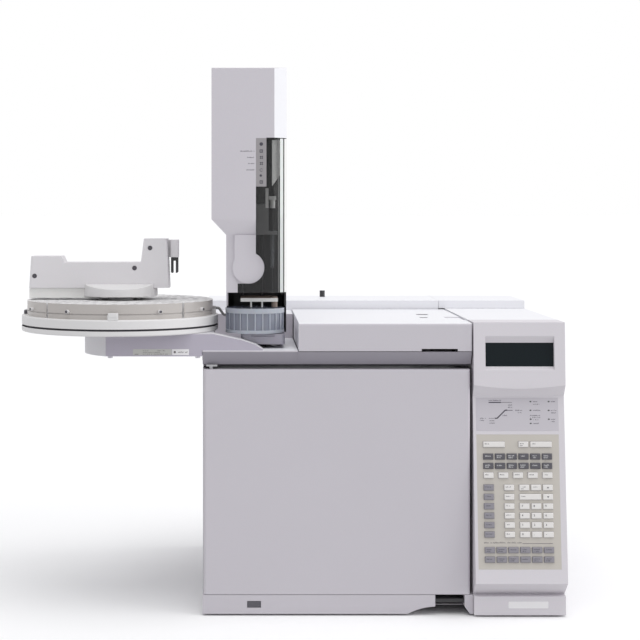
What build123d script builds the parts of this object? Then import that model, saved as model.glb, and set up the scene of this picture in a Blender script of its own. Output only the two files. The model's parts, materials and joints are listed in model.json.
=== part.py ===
"""Bench gas chromatograph with an automatic liquid sampler: oven mainframe, injector tower and sample tray.

Millimetres. X runs to the right, Y to the back and Z up. The sizes below are written in the instrument's
own frame: X = 0 at the left side of the mainframe, Y = 0 at the front of the oven door and Z = 0 on the
bench. Every piece is moved by ORIGIN as it is written, so that the origin lies on the bench under the
middle of the whole object.
"""

import math
import os

from build123d import *

# ---------------------------------------------------------------- general
SHEET = 1.5  # sheet-metal covers and panels
MOULDING = 3.0  # moulded covers
SEAM = 0.5  # gap between two covers that don't move
RUNNING = 0.05  # radial clearance of a pin that turns in a bore
SLIDING = 0.3  # clearance beside a piece that slides

# ---------------------------------------------------------------- mainframe
BODY_WIDTH = 590.0
BODY_BACK = 522.0  # outside of the rear covers, from the door's front
TOP_Z = 477.8  # console and lid side of the top
PAN_Z = 8.0  # underside of the base pan
PAN_RIM = 26.0  # height of the base pan's rim
PAN_FLOOR = 2.0
SKIRT_Z = 3.0  # underside of the front skirt
SKIRT_TOP = 33.8
SKIRT_DEPTH = 38.0
FOOT_RADIUS = 15.0
FOOT_INSET_X = 45.0
FOOT_INSET_Y = 75.0
PANEL_FRONT = 33.0  # front edge of both side panels
SHELF_Z = 431.9  # low shelf on the left, under the tower
SHELF_WIDTH = 155.0
SHELF_DEPTH = 247.0  # front edge back to the raised part
RAISED_Z = 475.0
REAR_Y = 357.0  # front of the raised rear covers
REAR_TOP_Z = 492.5
REAR_SEAM_X = 430.0
CONSOLE_WIDTH = 148.8
VENT_Y = 330.0  # side panel slots
VENT_Z = 60.0
VENT_LENGTH = 90.0
VENT_WIDTH = 4.0
VENT_PITCH = 12.0
VENT_COUNT = 12
STUB_X = 220.0  # vent stub on the left rear cover
STUB_Y = 480.0
STUB_RADIUS = 5.0
STUB_HEIGHT = 12.3
FASCIA_TOP = 429.5
FASCIA_BOTTOM = 408.3
FASCIA_SLOPE = 13.0  # how far the fascia leans back
FASCIA_SEAT = 56.0  # rear foot of the fascia
FASCIA_LIP = 30.0

# ---------------------------------------------------------------- oven
OVEN_X = 55.0
OVEN_Y = 50.0
OVEN_Z = 62.0
OVEN_WIDTH = 290.0
OVEN_HEIGHT = 305.0
OVEN_DEPTH = 165.0
LINER = 1.2
FLANGE = 2.0  # thickness of the liner's front flange
INSULATION = 44.0  # behind the oven
INSULATION_LEFT = 20.0
INSULATION_RIGHT = 416.0
SHROUD_GAP = 42.0  # fan shroud to the oven's rear wall
FAN_RADIUS = 62.0
FAN_INTAKE = 50.0
FAN_BLADES = 8
SHAFT_RADIUS = 5.0
MOTOR_RADIUS = 42.0
MOTOR_LENGTH = 60.0
HEATER_RADIUS = 84.0
HEATER_WIRE = 3.0
HEATER_LEG = 2.5
CAGE_WIRE = 2.0
CAGE_DEPTH = 44.0
CAGE_BARS = 6
CAGE_BAR = 1.5
COLUMN_BUNDLE = 5.0
COLUMN_TUBE = 0.8
COLUMN_NUT_Z = 347.0
BAFFLE_SLOT = 14.0
FAN_Y = 180.0
FAN_DEPTH = 22.0
FAN_HUB = 13.0
HEATER_Y = 186.0
HEATER_PITCH = 12.0
SHAFT_SEAT = 40.0  # depth of the shaft in the motor
MOTOR_FINS = 6
INLET_RADIUS = 14.0
INLET_FLANGE = 20.0
SEPTUM_NUT = 12.5
NUT_RADIUS = 6.0
DETECTOR_TOP = 464.0
COLLECTOR_RADIUS = 9.0
EXHAUST_SLOTS = 8
EXHAUST_PITCH = 14.0
EXHAUST_WIDTH = 120.0

# ---------------------------------------------------------------- oven door
DOOR_LEFT = 1.6
DOOR_GAP = 5.0  # between the door and the console
DOOR_BOTTOM = 34.6
DOOR_TOP = 400.9
DOOR_SKIN_DEPTH = 30.0
DOOR_WALL = 2.5
DOOR_CORNER = 5.0
DOOR_LINER_INSET = 26.0
DOOR_LINER_BACK = 46.0
DOOR_PIN_X = 14.0
DOOR_PIN_Y = 12.0
DOOR_PIN_RADIUS = 3.0
DOOR_PIN_REACH = 10.0  # length of each pin inside the door
DOOR_LINER_SEAT = 28.0  # front of the sheet that closes the door's back
DOOR_PLUG_CHAMFER = 4.0
LATCH_LEFT = 381.0
LATCH_RIGHT = 425.0
LATCH_Z = 20.0
LATCH_THICK = 7.0
LATCH_FRONT = 5.0
LATCH_PIVOT_Y = 30.0
LATCH_PIN = 2.5
SCOOP_LEFT = 334.0
SCOOP_RISE = 12.0
SCOOP_RAMP = 8.4  # run of the scoop's right end
SCOOP_BOW = 9.0  # rise at the middle of its curved left end
BUTTON_X = 84.0
BUTTON_Z = 18.6
BUTTON_WIDTH = 22.0
BUTTON_HEIGHT = 10.4
BUTTON_TRAVEL = 3.0
BUTTON_DEPTH = 18.0

# ---------------------------------------------------------------- detector lid
LID_LEFT = 157.0
LID_GAP = 2.6  # between the lid and the console
LID_FRONT = 1.0
LID_BACK = 353.0
LID_BOTTOM = 430.4
LID_TOP = 476.4
LID_PIVOT_Y = 342.0
LID_PIVOT_Z = 468.0
LID_PIN = 4.0
LID_PIN_REACH = 7.0
NOTCH_LEFT = 357.0
NOTCH_RIGHT = 416.0
NOTCH_HEIGHT = 4.0
LID_WALL = 2.5
LID_CORNER = 4.0
THUMB_FRONT = 74.0
THUMB_BACK = 146.0
THUMB_WIDTH = 27.0
THUMB_DEPTH = 1.3
LID_RIBS = 4
LID_RIB_PITCH = 55.0
LID_RIB = 3.0
FLUES = ((382.0, 209.0, 21.0, 24.0), (376.0, 133.0, 14.0, 18.0))  # middle x and y, width and depth

# ---------------------------------------------------------------- console
CONSOLE_DEPTH = 60.0
DISPLAY_BROW_Z = 376.0  # lower edge of the upright display face
BROW_Y = -6.0
BASE_Y = -9.0
PANEL_TOP_Y = 8.0
PANEL_TOP_Z = 357.0
PANEL_BOTTOM_Y = -26.0
PANEL_BOTTOM_Z = 58.0
CHIN_Y = 3.0
CHIN_Z = 35.0
WINDOW_MARGIN = 19.1  # console's left side to the display window
WINDOW_WIDTH = 112.0
WINDOW_BOTTOM = 405.3
WINDOW_TOP = 444.1
WINDOW_RECESS = 7.0  # depth of the flared frame round the window
WINDOW_FLARE_TOP = 11.4
WINDOW_FLARE_BOTTOM = 4.9
WINDOW_THICK = 2.0
PLATE = 1.5  # keypad and status plates
PLATE_LEDGE = 4.0
PLATE_MARGIN = 4.8  # console's left side to the plates
PLATE_WIDTH = 134.0
KEYPAD_BOTTOM_Z = 80.8
KEYPAD_TOP_Z = 295.0
STATUS_BOTTOM_Z = 300.5
STATUS_TOP_Z = 354.0
STATUS_SAG = 6.0
KEY_MARGIN = 18.6  # plates' left edge to the middle of the first column
KEY_PITCH = 19.1
KEY_WIDTH = 15.9
KEY_HEIGHT = 9.1
KEY_PROUD = 3.0
KEY_CLEARANCE = 0.4
KEY_TRAVEL = 1.2  # stroke of a key's joint
KEY_ROOT = 5.0  # how far a key reaches behind the plate's face
KEY_BEVEL = 0.8
KEY_ROWS = 12
KEY_COLUMNS = 6
KEY_ROW = 15.0
KEY_BOTTOM_Z = 96.4
METHOD_ROW = 10  # last row above the bottom group
PROGRAM_ROW = 4
METHOD_GAP = 9.8
GROUP_GAP = 4.6
PROGRAM_KEYS = 5
ENTRY_COLUMN = 2.72
PROUD_CUT = 6.0
BOARD_LOW = 25.0
BOARD_HIGH = 262.0
BOARD_DEPTH = 12.0
BOARD_CHIPS = 5
BOARD_CHIP_LEFT = 44.0  # plates' left edge to the chips
BOARD_CHIP = 30.0
BOARD_CHIP_HEIGHT = 18.0
SUPPLY_WIDTH = 115.0
SUPPLY_MARGIN = 15.0  # supply box to the right side of the mainframe
SUPPLY_FRONT = 320.0
SUPPLY_TOP = 100.0
SOCKET_Z = 55.0
SOCKET_DEPTH = 17.0
SOCKET_WALL = 2.0
INLET_SOCKET_WIDTH = 24.0
INLET_SOCKET_HEIGHT = 16.5
BLADE_PITCH = 7.0
BLADE_RECESS = 5.5
MANIFOLD_X = 120.0
MANIFOLD_DEPTH = 40.0
FITTINGS = 4
FITTING_PITCH = 30.0
FITTING_Z = 430.0
FITTING_RADIUS = 6.0
FITTING_BORE = 3.0
FITTING_REACH = 12.0  # length of each fitting behind the rear sheet
FITTING_FLANGE = 9.0
VALVE_LENGTH = 18.0
MANIFOLD_HALF = 15.0

# ---------------------------------------------------------------- injector tower
TOWER_LEFT = 14.2
TOWER_WAIST = 38.2  # left side below the overhang
TOWER_RIGHT = 138.3
TOWER_FRONT = 22.0
TOWER_BACK = 187.0
TOWER_CHAMFER = 20.7
TOWER_TOP = 893.7
TOWER_CROWN = 6.0
COVER_SPLIT = 70.0  # front cover meets the rear housing
BEVEL_TOP = 645.3
BEVEL_BOTTOM = 619.7
LOBE_Y = 34.0
LOBE_X = 75.0
LOBE_Z = 565.4
LOBE_RADIUS = 27.0
LOBE_EDGE = 88.0  # right edge of the neck above the lobe
LOBE_LEG = 58.0
TONGUE_LEFT = 52.0
TONGUE_RAISE = 3.0
LOWER_Z = 524.4  # lower end of the covers
DOOR_WINDOW_TOP = 778.8
STRIP_LEFT = 87.3
STRIP_RIGHT = 105.3
STRIP_BOTTOM = 698.3
WINDOW_WALL = 2.5
WINDOW_GAP = 0.8
WINDOW_PIVOT_Y = 97.0
WINDOW_BARREL = 3.0
WINDOW_PIN = 1.5
WINDOW_PIN_REACH = 5.0
LUG = 6.0
STRIP_DEPTH = 1.2
TURRET_CLEAR = 2.5
TOWER_BASE_Z = 438.4
TOWER_BASE_TOP = 455.5
TOWER_BASE_FRONT = 40.0
BASE_LEFT = 62.5
BASE_RIGHT = 135.5
BASE_CORNER = 6.0
BASE_SLOT = 17.0
FOOT_FRONT = 130.0
NEEDLE_HOLE = 3.0
SPINE_LEFT = 50.0
SPINE_RIGHT = 126.0
SPINE_TOP = 870.0
SPINE_Y = 150.0
SPINE_THICK = 6.0
ROD_RADIUS = 3.0
ROD_Y = 128.0
ROD_X = 82.0
ROD_SPREAD = 17.0  # half the distance between the guide rods
NEEDLE_X = 116.0
NEEDLE_Y = 98.0
NEEDLE_RADIUS = 0.6
NEEDLE_TIP = 520.0
BARREL_RADIUS = 3.3
BARREL_BOTTOM = 563.0
BARREL_TOP = 625.0
BARREL_FLANGE = 5.0
PLUNGER_RADIUS = 1.3
PLUNGER_CAP = 4.5
CAP_HEIGHT = 14.0
CAP_TOP = 678.0
FINGER = 6.0  # thickness of the finger that pushes the plunger
FINGER_WIDTH = 10.0
CLAMP = 6.0
CLAMP_FRONT = 86.0
SLIDER_LEFT = 55.0
SLIDER_RIGHT = 109.0
SLIDER_HALF = 10.0
SLIDER_HEIGHT = 17.0
PLATE_X0 = 88.0
GUARD_PLATE_TOP = 670.5
NOSE = 29.0
DRIVE = 32.0
DRIVE_Z = 700.0
CARRIAGE_TRAVEL = 105.0
PLUNGER_TRAVEL = 34.0
TURRET_X = 86.0
TURRET_Y = 75.0
TURRET_RADIUS = 49.5
TURRET_BOTTOM = 456.5
TURRET_RING_Z = 489.6
TURRET_TOP = 497.8
TURRET_POCKETS = 12
TURRET_PITCH = math.hypot(NEEDLE_X - TURRET_X, NEEDLE_Y - TURRET_Y)
TURRET_HUB = 16.0
POCKET_RADIUS = 6.4
SPINDLE = 4.0
GUARD_Z = 508.0
GUARD_HEIGHT = 6.0
GUARD_FRONT = 56.0
GUARD_PIN = 1.5
GUARD_PINS = (79.4, 97.8)
GUARD_BUSH_X = 118.5
GUARD_BUSH = 5.0
TURRET_RIB = 2.0
TURRET_RIBS = 24
TURRET_BAND = 5.5
TURRET_DISH = 4.0
SPINDLE_HEIGHT = 20.0

# ---------------------------------------------------------------- sample tray
TRAY_X = -142.2
TRAY_Y = 110.0
RING_RADIUS = 166.0
RING_BOTTOM = 458.4
RING_GROOVE = 466.8
RING_GROOVE_TOP = 470.0
RING_EDGE = 2.0  # rounding of the rim's upper and lower edges
RING_TOP = 484.8
RING_WALL = 9.0
RING_GROOVE_DEPTH = 5.0
GLAND = 7.0
GLAND_X = 19.0
GLAND_Y = 150.0
CABLE_RADIUS = 2.2
CABLE_START_Z = 492.0
CABLE_END_Z = 480.0
CABLE_END = 5.5  # straight run at each end of the lead
CABLE_BEND = 4.6
RACK_RADIUS = 156.8
RACK_INNER = 40.0
RACK_TOP = 509.4
RACK_GAP = 5.0
RACK_BAND_Z = 492.0
RACK_BAND = 2.0
KNOB_ANGLE = 28.0
KNOB_Z = 497.0
KNOB_RADIUS = 3.0
KNOB_REACH = 5.0
TAB = 17.0
WELL_RADIUS = 6.2
WELL_DEPTH = 12.0
WELL_SIDES = 8
WELL_ROWS = 5
WELL_FIRST_RADIUS = 74.0
WELL_ROW_PITCH = 18.25
WELLS_IN_FIRST_ROW = 3  # each row outwards has one more
BRACKET_BOTTOM = 422.1
BRACKET_LEFT = -200.0
BRACKET_FRONT = 2.0
BRACKET_BACK = 178.0
BRACKET_TOE_X = 98.5
BRACKET_TOE_BACK = 36.0
BRACKET_BOW_X = -158.0
BRACKET_TOE_START = 17.7
TOE_SLANT = [(64.3, 448.3), (86.3, 441.0), (98.5, 433.3)]
BRACKET_RIBS = 3
BRACKET_SCREWS = (-150.8, -8.0)
SCREW_HEAD = 4.0
POST_RADIUS = 22.0
POST_TOP = 512.0
HUB_RADIUS = 63.0
HUB_TOP = 536.1
HUB_DIP = 7.6  # how far the hub's rim is lower at its front and back
HUB_SHAFT = 8.0
HUB_SHAFT_LENGTH = 20.0
HUB_BOTTOM = 515.5
ARM_WIDTH = 50.0
ARM_LEFT = -291.0
ARM_RIGHT = -58.0
ARM_RIGHT_TOP = -61.5
ARM_LEFT_FOOT = -294.5
ARM_SCREWS = ((-285.0, 549.6), (-116.7, 563.0), (-90.6, 596.7))
ARM_SCREW_RADIUS = 4.2
ARM_SCREW_DEPTH = 1.5
ARM_FOOT_Z = 512.3
ARM_SEAT_Z = 529.5
ARM_MIDDLE_Z = 572.4
ARM_LEFT_TOP = 582.8
ARM_HEAD_TOP = 612.4
ARM_HEAD_LEFT = -99.0
ARM_STEP_X = -237.0
KEEL = 12.0
KEEL_DEPTH = 7.5
KEEL_LEFT = -190.0
KEEL_RIGHT = -85.0
SUPPORT = 40.0
ARM_CORNER = 4.0
HEAD_LEFT = -57.0
HEAD_RIGHT = -43.0
HEAD_WIDTH = 26.0
HEAD_BOTTOM = 580.8
HEAD_TONGUE = 7.0
TONGUE_BACK = -75.0
JAW_BOTTOM = 554.2
JAW_THICK = 3.6
JAW_OPEN = 6.8
JAW_X = -50.0
JAW_HALF = 6.0
JAW_TAPER = 1.5
STEM = 2.7
STEM_HEIGHT = 7.0
JAW_SLOT = 4.4  # between the two prongs of a jaw
JAW_ROOT = 6.0  # height of the bar above the prongs
JAW_TRAVEL = 1.5  # stroke of a jaw's joint
HEAD_TRAVEL = 38.0

# ---------------------------------------------------------------- the origin of the written pieces
ORIGIN_X = (TRAY_X - RING_RADIUS + BODY_WIDTH) / 2
ORIGIN_Y = (TRAY_Y - RING_RADIUS + BODY_BACK + FITTING_REACH) / 2


# ================================================================ helpers
def block(x0, x1, y0, y1, z0, z1):
    """A box between two corners."""
    centre = ((x0 + x1) / 2, (y0 + y1) / 2, (z0 + z1) / 2)
    return Pos(*centre) * Box(x1 - x0, y1 - y0, z1 - z0)


def prism_x(profile, x0, x1):
    """A closed (y, z) outline extruded along X."""
    outline = Polyline(*[(x0, y, z) for y, z in profile], close=True)
    return extrude(make_face(outline.edges()), amount=x1 - x0, dir=(1, 0, 0))


def prism_y(profile, y0, y1):
    """A closed (x, z) outline extruded along Y."""
    outline = Polyline(*[(x, y0, z) for x, z in profile], close=True)
    return extrude(make_face(outline.edges()), amount=y1 - y0, dir=(0, 1, 0))


def prism_z(profile, z0, z1):
    """A closed (x, y) outline extruded along Z."""
    outline = Polyline(*[(x, y, z0) for x, y in profile], close=True)
    return extrude(make_face(outline.edges()), amount=z1 - z0, dir=(0, 0, 1))


def rod_x(y, z, radius, x0, x1):
    """A cylinder along X."""
    return Pos((x0 + x1) / 2, y, z) * Rot(0, 90, 0) * Cylinder(radius, x1 - x0)


def rod_y(x, z, radius, y0, y1):
    """A cylinder along Y."""
    return Pos(x, (y0 + y1) / 2, z) * Rot(90, 0, 0) * Cylinder(radius, y1 - y0)


def rod_z(x, y, radius, z0, z1):
    """A cylinder along Z."""
    return Pos(x, y, (z0 + z1) / 2) * Cylinder(radius, z1 - z0)


def write(name, *shapes):
    """Moves one sub-part's solids to the shared origin and writes them."""
    shift = Pos(-ORIGIN_X, -ORIGIN_Y, 0)
    pieces = [shift * piece for shape in shapes for piece in shape.solids()]
    export_step(pieces[0] if len(pieces) == 1 else Compound(children=pieces), f"parts/{name}.step")


# ================================================================ values worked out from the sizes above
CONSOLE_X = BODY_WIDTH - CONSOLE_WIDTH
DOOR_RIGHT = CONSOLE_X - DOOR_GAP
LID_RIGHT = CONSOLE_X - LID_GAP
WINDOW_LEFT = CONSOLE_X + WINDOW_MARGIN
WINDOW_RIGHT = WINDOW_LEFT + WINDOW_WIDTH
PLATE_LEFT = CONSOLE_X + PLATE_MARGIN
PLATE_RIGHT = PLATE_LEFT + PLATE_WIDTH
KEY_COLUMN = PLATE_LEFT + KEY_MARGIN
SUPPLY_RIGHT = BODY_WIDTH - SUPPLY_MARGIN
SUPPLY_LEFT = SUPPLY_RIGHT - SUPPLY_WIDTH
SOCKET_X = (SUPPLY_LEFT + SUPPLY_RIGHT) / 2
OVEN_CX = OVEN_X + OVEN_WIDTH / 2
OVEN_CZ = OVEN_Z + OVEN_HEIGHT / 2
OVEN_BACK = OVEN_Y + OVEN_DEPTH
INSULATION_BACK = OVEN_BACK + LINER + INSULATION
PAN_TOP = PAN_Z + PAN_FLOOR
BAFFLE_Y = OVEN_BACK - SHROUD_GAP
COLUMN_RADIUS = OVEN_CX - NEEDLE_X
DETECTOR_X = OVEN_CX + COLUMN_RADIUS
CAGE_RADIUS = COLUMN_RADIUS - COLUMN_BUNDLE - CAGE_WIRE - SLIDING
INLET_TOP = TOWER_BASE_Z - SEAM
SKIRT_RIGHT = CONSOLE_X - SEAM
LATCH_PIVOT_Z = LATCH_Z + LATCH_THICK / 2
RACK_BOTTOM = RING_TOP
SLOPE = math.atan2(PANEL_TOP_Y - PANEL_BOTTOM_Y, PANEL_TOP_Z - PANEL_BOTTOM_Z)
JAW_REACH = JAW_X - TRAY_X
REACH_IN = JAW_REACH - WELL_FIRST_RADIUS
REACH_OUT = WELL_FIRST_RADIUS + (WELL_ROWS - 1) * WELL_ROW_PITCH - JAW_REACH


# ================================================================ mainframe
def base_pan():
    """Folded floor pan with the front skirt, the latch scoop and the switch box behind the power button."""
    inside = BODY_WIDTH - SHEET
    back = BODY_BACK - SHEET
    rim_top = PAN_Z + PAN_RIM
    floor = block(SHEET, SKIRT_RIGHT, SKIRT_DEPTH, back, PAN_Z, PAN_TOP)
    floor += block(SKIRT_RIGHT, inside, CONSOLE_DEPTH, back, PAN_Z, PAN_TOP)
    floor += block(SHEET, SHEET + PAN_FLOOR, SKIRT_DEPTH, back, PAN_TOP, rim_top)
    floor += block(inside - PAN_FLOOR, inside, CONSOLE_DEPTH, back, PAN_TOP, rim_top)
    floor += block(SHEET, inside, back - PAN_FLOOR, back, PAN_TOP, rim_top)

    scoop_z = SKIRT_Z + SCOOP_RISE
    scoop_end = LATCH_RIGHT + PAN_FLOOR
    toe = scoop_end + SCOOP_RAMP
    outline = Polyline((toe, 0, SKIRT_Z), (SKIRT_RIGHT, 0, SKIRT_Z), (SKIRT_RIGHT, 0, SKIRT_TOP),
                       (0, 0, SKIRT_TOP), (0, 0, SKIRT_Z), (SCOOP_LEFT, 0, SKIRT_Z))
    middle = ((SCOOP_LEFT + LATCH_LEFT) / 2, 0, SKIRT_Z + SCOOP_BOW)
    bend = ThreePointArc((SCOOP_LEFT, 0, SKIRT_Z), middle, (LATCH_LEFT, 0, scoop_z))
    rest = Polyline((LATCH_LEFT, 0, scoop_z), (scoop_end, 0, scoop_z), (toe, 0, SKIRT_Z))
    face = make_face(outline.edges() + bend.edges() + rest.edges())
    skirt = extrude(face, amount=SKIRT_DEPTH, dir=(0, 1, 0))
    wall = PAN_FLOOR
    skirt -= block(wall, SCOOP_LEFT - wall, wall, SKIRT_DEPTH - wall, SKIRT_Z + wall, SKIRT_TOP - wall)
    skirt -= block(LATCH_LEFT - wall, LATCH_RIGHT + wall, -1, SKIRT_DEPTH - wall, SKIRT_Z, SKIRT_TOP + 1)
    bore = LATCH_PIN + RUNNING
    skirt -= rod_x(LATCH_PIVOT_Y, LATCH_PIVOT_Z, bore, LATCH_LEFT - wall - 5, LATCH_RIGHT + wall + 5)

    switch_y = BUTTON_DEPTH + BUTTON_TRAVEL + SLIDING
    half = BUTTON_WIDTH / 2
    low = BUTTON_Z - BUTTON_HEIGHT / 2
    high = BUTTON_Z + BUTTON_HEIGHT / 2
    skirt -= block(BUTTON_X - half - SLIDING, BUTTON_X + half + SLIDING, -1, wall + 1,
                   low - SLIDING, high + SLIDING)
    switch = block(BUTTON_X - half, BUTTON_X + half, switch_y, SKIRT_DEPTH - wall, SKIRT_Z + wall, high)
    return floor + skirt + switch


def feet():
    """Four rubber feet under the pan."""
    places = [(x, y) for x in (FOOT_INSET_X, BODY_WIDTH - FOOT_INSET_X)
              for y in (FOOT_INSET_Y, BODY_BACK - FOOT_INSET_Y)]
    foot = Cylinder(FOOT_RADIUS, PAN_Z)
    foot = chamfer(foot.edges().group_by(Axis.Z)[0], 2)
    return [Pos(x, y, PAN_Z / 2) * foot for x, y in places]


def vents(x0, x1, y0, z0, width, pitch, count):
    """A row of upright slots, as cutters that run through a panel."""
    return [block(x0, x1, y0 + i * pitch, y0 + i * pitch + width, z0, z0 + VENT_LENGTH) for i in range(count)]


def left_side_panel():
    """Side sheet with its stepped top edge and two rows of cooling slots."""
    profile = [(PANEL_FRONT, SKIRT_TOP + SEAM), (PANEL_FRONT, DOOR_TOP), (FASCIA_SEAT + SEAM, DOOR_TOP),
               (FASCIA_SEAT + SEAM, SHELF_Z - SHEET), (SHELF_DEPTH + SHEET, SHELF_Z - SHEET),
               (SHELF_DEPTH + SHEET, RAISED_Z - SHEET), (REAR_Y + SHEET, RAISED_Z - SHEET),
               (REAR_Y + SHEET, REAR_TOP_Z - SHEET),
               (BODY_BACK, REAR_TOP_Z - SHEET), (BODY_BACK, SKIRT_Z), (SKIRT_DEPTH + SEAM, SKIRT_Z),
               (SKIRT_DEPTH + SEAM, SKIRT_TOP + SEAM)]
    panel = prism_x(profile, 0, SHEET)
    low = vents(-1, SHEET + 1, VENT_Y, VENT_Z, VENT_WIDTH, VENT_PITCH, VENT_COUNT)
    return panel - low


def right_side_panel():
    """Side sheet behind the console."""
    profile = [(CONSOLE_DEPTH, SKIRT_Z), (CONSOLE_DEPTH, TOP_Z - SHEET), (REAR_Y + SHEET, TOP_Z - SHEET),
               (REAR_Y + SHEET, REAR_TOP_Z - SHEET), (BODY_BACK, REAR_TOP_Z - SHEET), (BODY_BACK, SKIRT_Z)]
    panel = prism_x(profile, BODY_WIDTH - SHEET, BODY_WIDTH)
    low = vents(BODY_WIDTH - SHEET - 1, BODY_WIDTH + 1, VENT_Y, VENT_Z, VENT_WIDTH, VENT_PITCH, VENT_COUNT)
    return panel - low


def back_panel():
    """Rear sheet with the oven's exhaust slots, the gas fittings' holes and the mains inlet's cut-out."""
    panel = block(SHEET, BODY_WIDTH - SHEET, BODY_BACK - SHEET, BODY_BACK, SKIRT_Z, REAR_TOP_Z - SHEET)
    cuts = []
    for i in range(EXHAUST_SLOTS):
        z = OVEN_CZ + (i - (EXHAUST_SLOTS - 1) / 2) * EXHAUST_PITCH
        cuts.append(block(OVEN_CX - EXHAUST_WIDTH / 2, OVEN_CX + EXHAUST_WIDTH / 2, BODY_BACK - SHEET - 1,
                          BODY_BACK + 1, z - EXHAUST_PITCH / 4, z + EXHAUST_PITCH / 4))
    for x in fitting_places():
        cuts.append(rod_y(x, FITTING_Z, FITTING_RADIUS + SLIDING, BODY_BACK - SHEET - 1, BODY_BACK + 1))
    half_w = INLET_SOCKET_WIDTH / 2 + SOCKET_WALL + SLIDING
    half_h = INLET_SOCKET_HEIGHT / 2 + SOCKET_WALL + SLIDING
    cuts.append(block(SOCKET_X - half_w, SOCKET_X + half_w, BODY_BACK - SHEET - 1, BODY_BACK + 1,
                      SOCKET_Z - half_h, SOCKET_Z + half_h))
    return panel - cuts


def fitting_places():
    """X of each gas fitting on the manifold."""
    return [MANIFOLD_X + (i - (FITTINGS - 1) / 2) * FITTING_PITCH for i in range(FITTINGS)]


def front_fascia():
    """Folded strip that leans back above the door, closed at both ends, with a foot on the insulation."""
    wall = PAN_FLOOR
    lean = FASCIA_SLOPE * wall / (FASCIA_TOP - FASCIA_BOTTOM)
    profile = [(0, FASCIA_TOP), (FASCIA_SEAT, FASCIA_TOP), (FASCIA_SEAT, DOOR_TOP),
               (FASCIA_SEAT - wall, DOOR_TOP), (FASCIA_SEAT - wall, FASCIA_TOP - wall),
               (wall + lean, FASCIA_TOP - wall),
               (FASCIA_SLOPE + wall - lean, FASCIA_BOTTOM + wall), (FASCIA_LIP, FASCIA_BOTTOM + wall),
               (FASCIA_LIP, FASCIA_BOTTOM), (FASCIA_SLOPE, FASCIA_BOTTOM)]
    strip = prism_x(profile, 0, LID_RIGHT)
    end = [(0, FASCIA_TOP), (FASCIA_SEAT, FASCIA_TOP), (FASCIA_SEAT, FASCIA_BOTTOM),
           (FASCIA_SLOPE, FASCIA_BOTTOM)]
    strip += prism_x(end, 0, wall)
    strip += prism_x(end, LID_RIGHT - wall, LID_RIGHT)
    groove = prism_x([(-1, FASCIA_TOP + 1), (0.6, FASCIA_TOP + 1), (0.6 + FASCIA_SLOPE, FASCIA_BOTTOM - 1),
                      (-1, FASCIA_BOTTOM - 1)], SHELF_WIDTH - SEAM, SHELF_WIDTH + SEAM)
    return strip - groove


def inlet_shelf_cover():
    """Sheet cover with the low shelf for the tower and tray, and the raised part behind it."""
    low = SHELF_Z - SHEET
    high = RAISED_Z - SHEET
    back = REAR_Y - SEAM
    profile = [(0, FASCIA_TOP), (SHEET, FASCIA_TOP), (SHEET, low), (SHELF_DEPTH + SHEET, low),
               (SHELF_DEPTH + SHEET, high), (back, high), (back, RAISED_Z), (SHELF_DEPTH, RAISED_Z),
               (SHELF_DEPTH, SHELF_Z), (0, SHELF_Z)]
    cover = prism_x(profile, 0, SHELF_WIDTH)
    side = [(SHELF_DEPTH, low), (back, low), (back, RAISED_Z), (SHELF_DEPTH, RAISED_Z)]
    cover += prism_x(side, SHELF_WIDTH - SHEET, SHELF_WIDTH)
    cover -= rod_z(NEEDLE_X, NEEDLE_Y, INLET_RADIUS + SEAM, low - 1, SHELF_Z + 1)
    cover -= rod_x(LID_PIVOT_Y, LID_PIVOT_Z, LID_PIN + RUNNING, SHELF_WIDTH - SHEET - 1, SHELF_WIDTH + 1)
    return cover


def detector_lid():
    """Hinged cover over the detectors: an open-bottomed moulding with a finger notch and two flue holes."""
    outer = block(LID_LEFT, LID_RIGHT, LID_FRONT, LID_BACK, LID_BOTTOM, LID_TOP)
    outer = fillet(outer.edges().filter_by(Axis.X).group_by(Axis.Z)[-1].sort_by(Axis.Y)[0], LID_CORNER)
    wall = LID_WALL
    lid = outer - block(LID_LEFT + wall, LID_RIGHT - wall, LID_FRONT + wall, LID_BACK - wall,
                        LID_BOTTOM - 1, LID_TOP - wall)
    lid -= block(NOTCH_LEFT, NOTCH_RIGHT, LID_FRONT - 1, LID_FRONT + wall + 1, LID_BOTTOM - 1,
                 LID_BOTTOM + NOTCH_HEIGHT)
    lid -= block(LID_RIGHT - THUMB_WIDTH, LID_RIGHT + 1, THUMB_FRONT, THUMB_BACK,
                 LID_TOP - THUMB_DEPTH, LID_TOP + 1)
    for x in (LID_LEFT + wall + LID_RIB_PITCH * i for i in range(1, LID_RIBS + 1)):
        lid += block(x, x + wall, LID_FRONT + wall, LID_BACK - wall, LID_TOP - wall - LID_RIB, LID_TOP - wall)
    for x, y, width, depth in FLUES:
        lid -= block(x - width / 2, x + width / 2, y - depth / 2, y + depth / 2, LID_BOTTOM, LID_TOP + 1)
    lid += rod_x(LID_PIVOT_Y, LID_PIVOT_Z, LID_PIN, LID_LEFT - LID_PIN_REACH, LID_LEFT + wall)
    lid += rod_x(LID_PIVOT_Y, LID_PIVOT_Z, LID_PIN, LID_RIGHT - wall, LID_RIGHT + LID_PIN_REACH)
    return lid


def rear_cover(x0, x1, front_z):
    """A folded cap over the rear of the mainframe: top sheet and front wall."""
    profile = [(REAR_Y, front_z), (REAR_Y + SHEET, front_z), (REAR_Y + SHEET, REAR_TOP_Z - SHEET),
               (BODY_BACK, REAR_TOP_Z - SHEET), (BODY_BACK, REAR_TOP_Z), (REAR_Y, REAR_TOP_Z)]
    return prism_x(profile, x0, x1)


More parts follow.
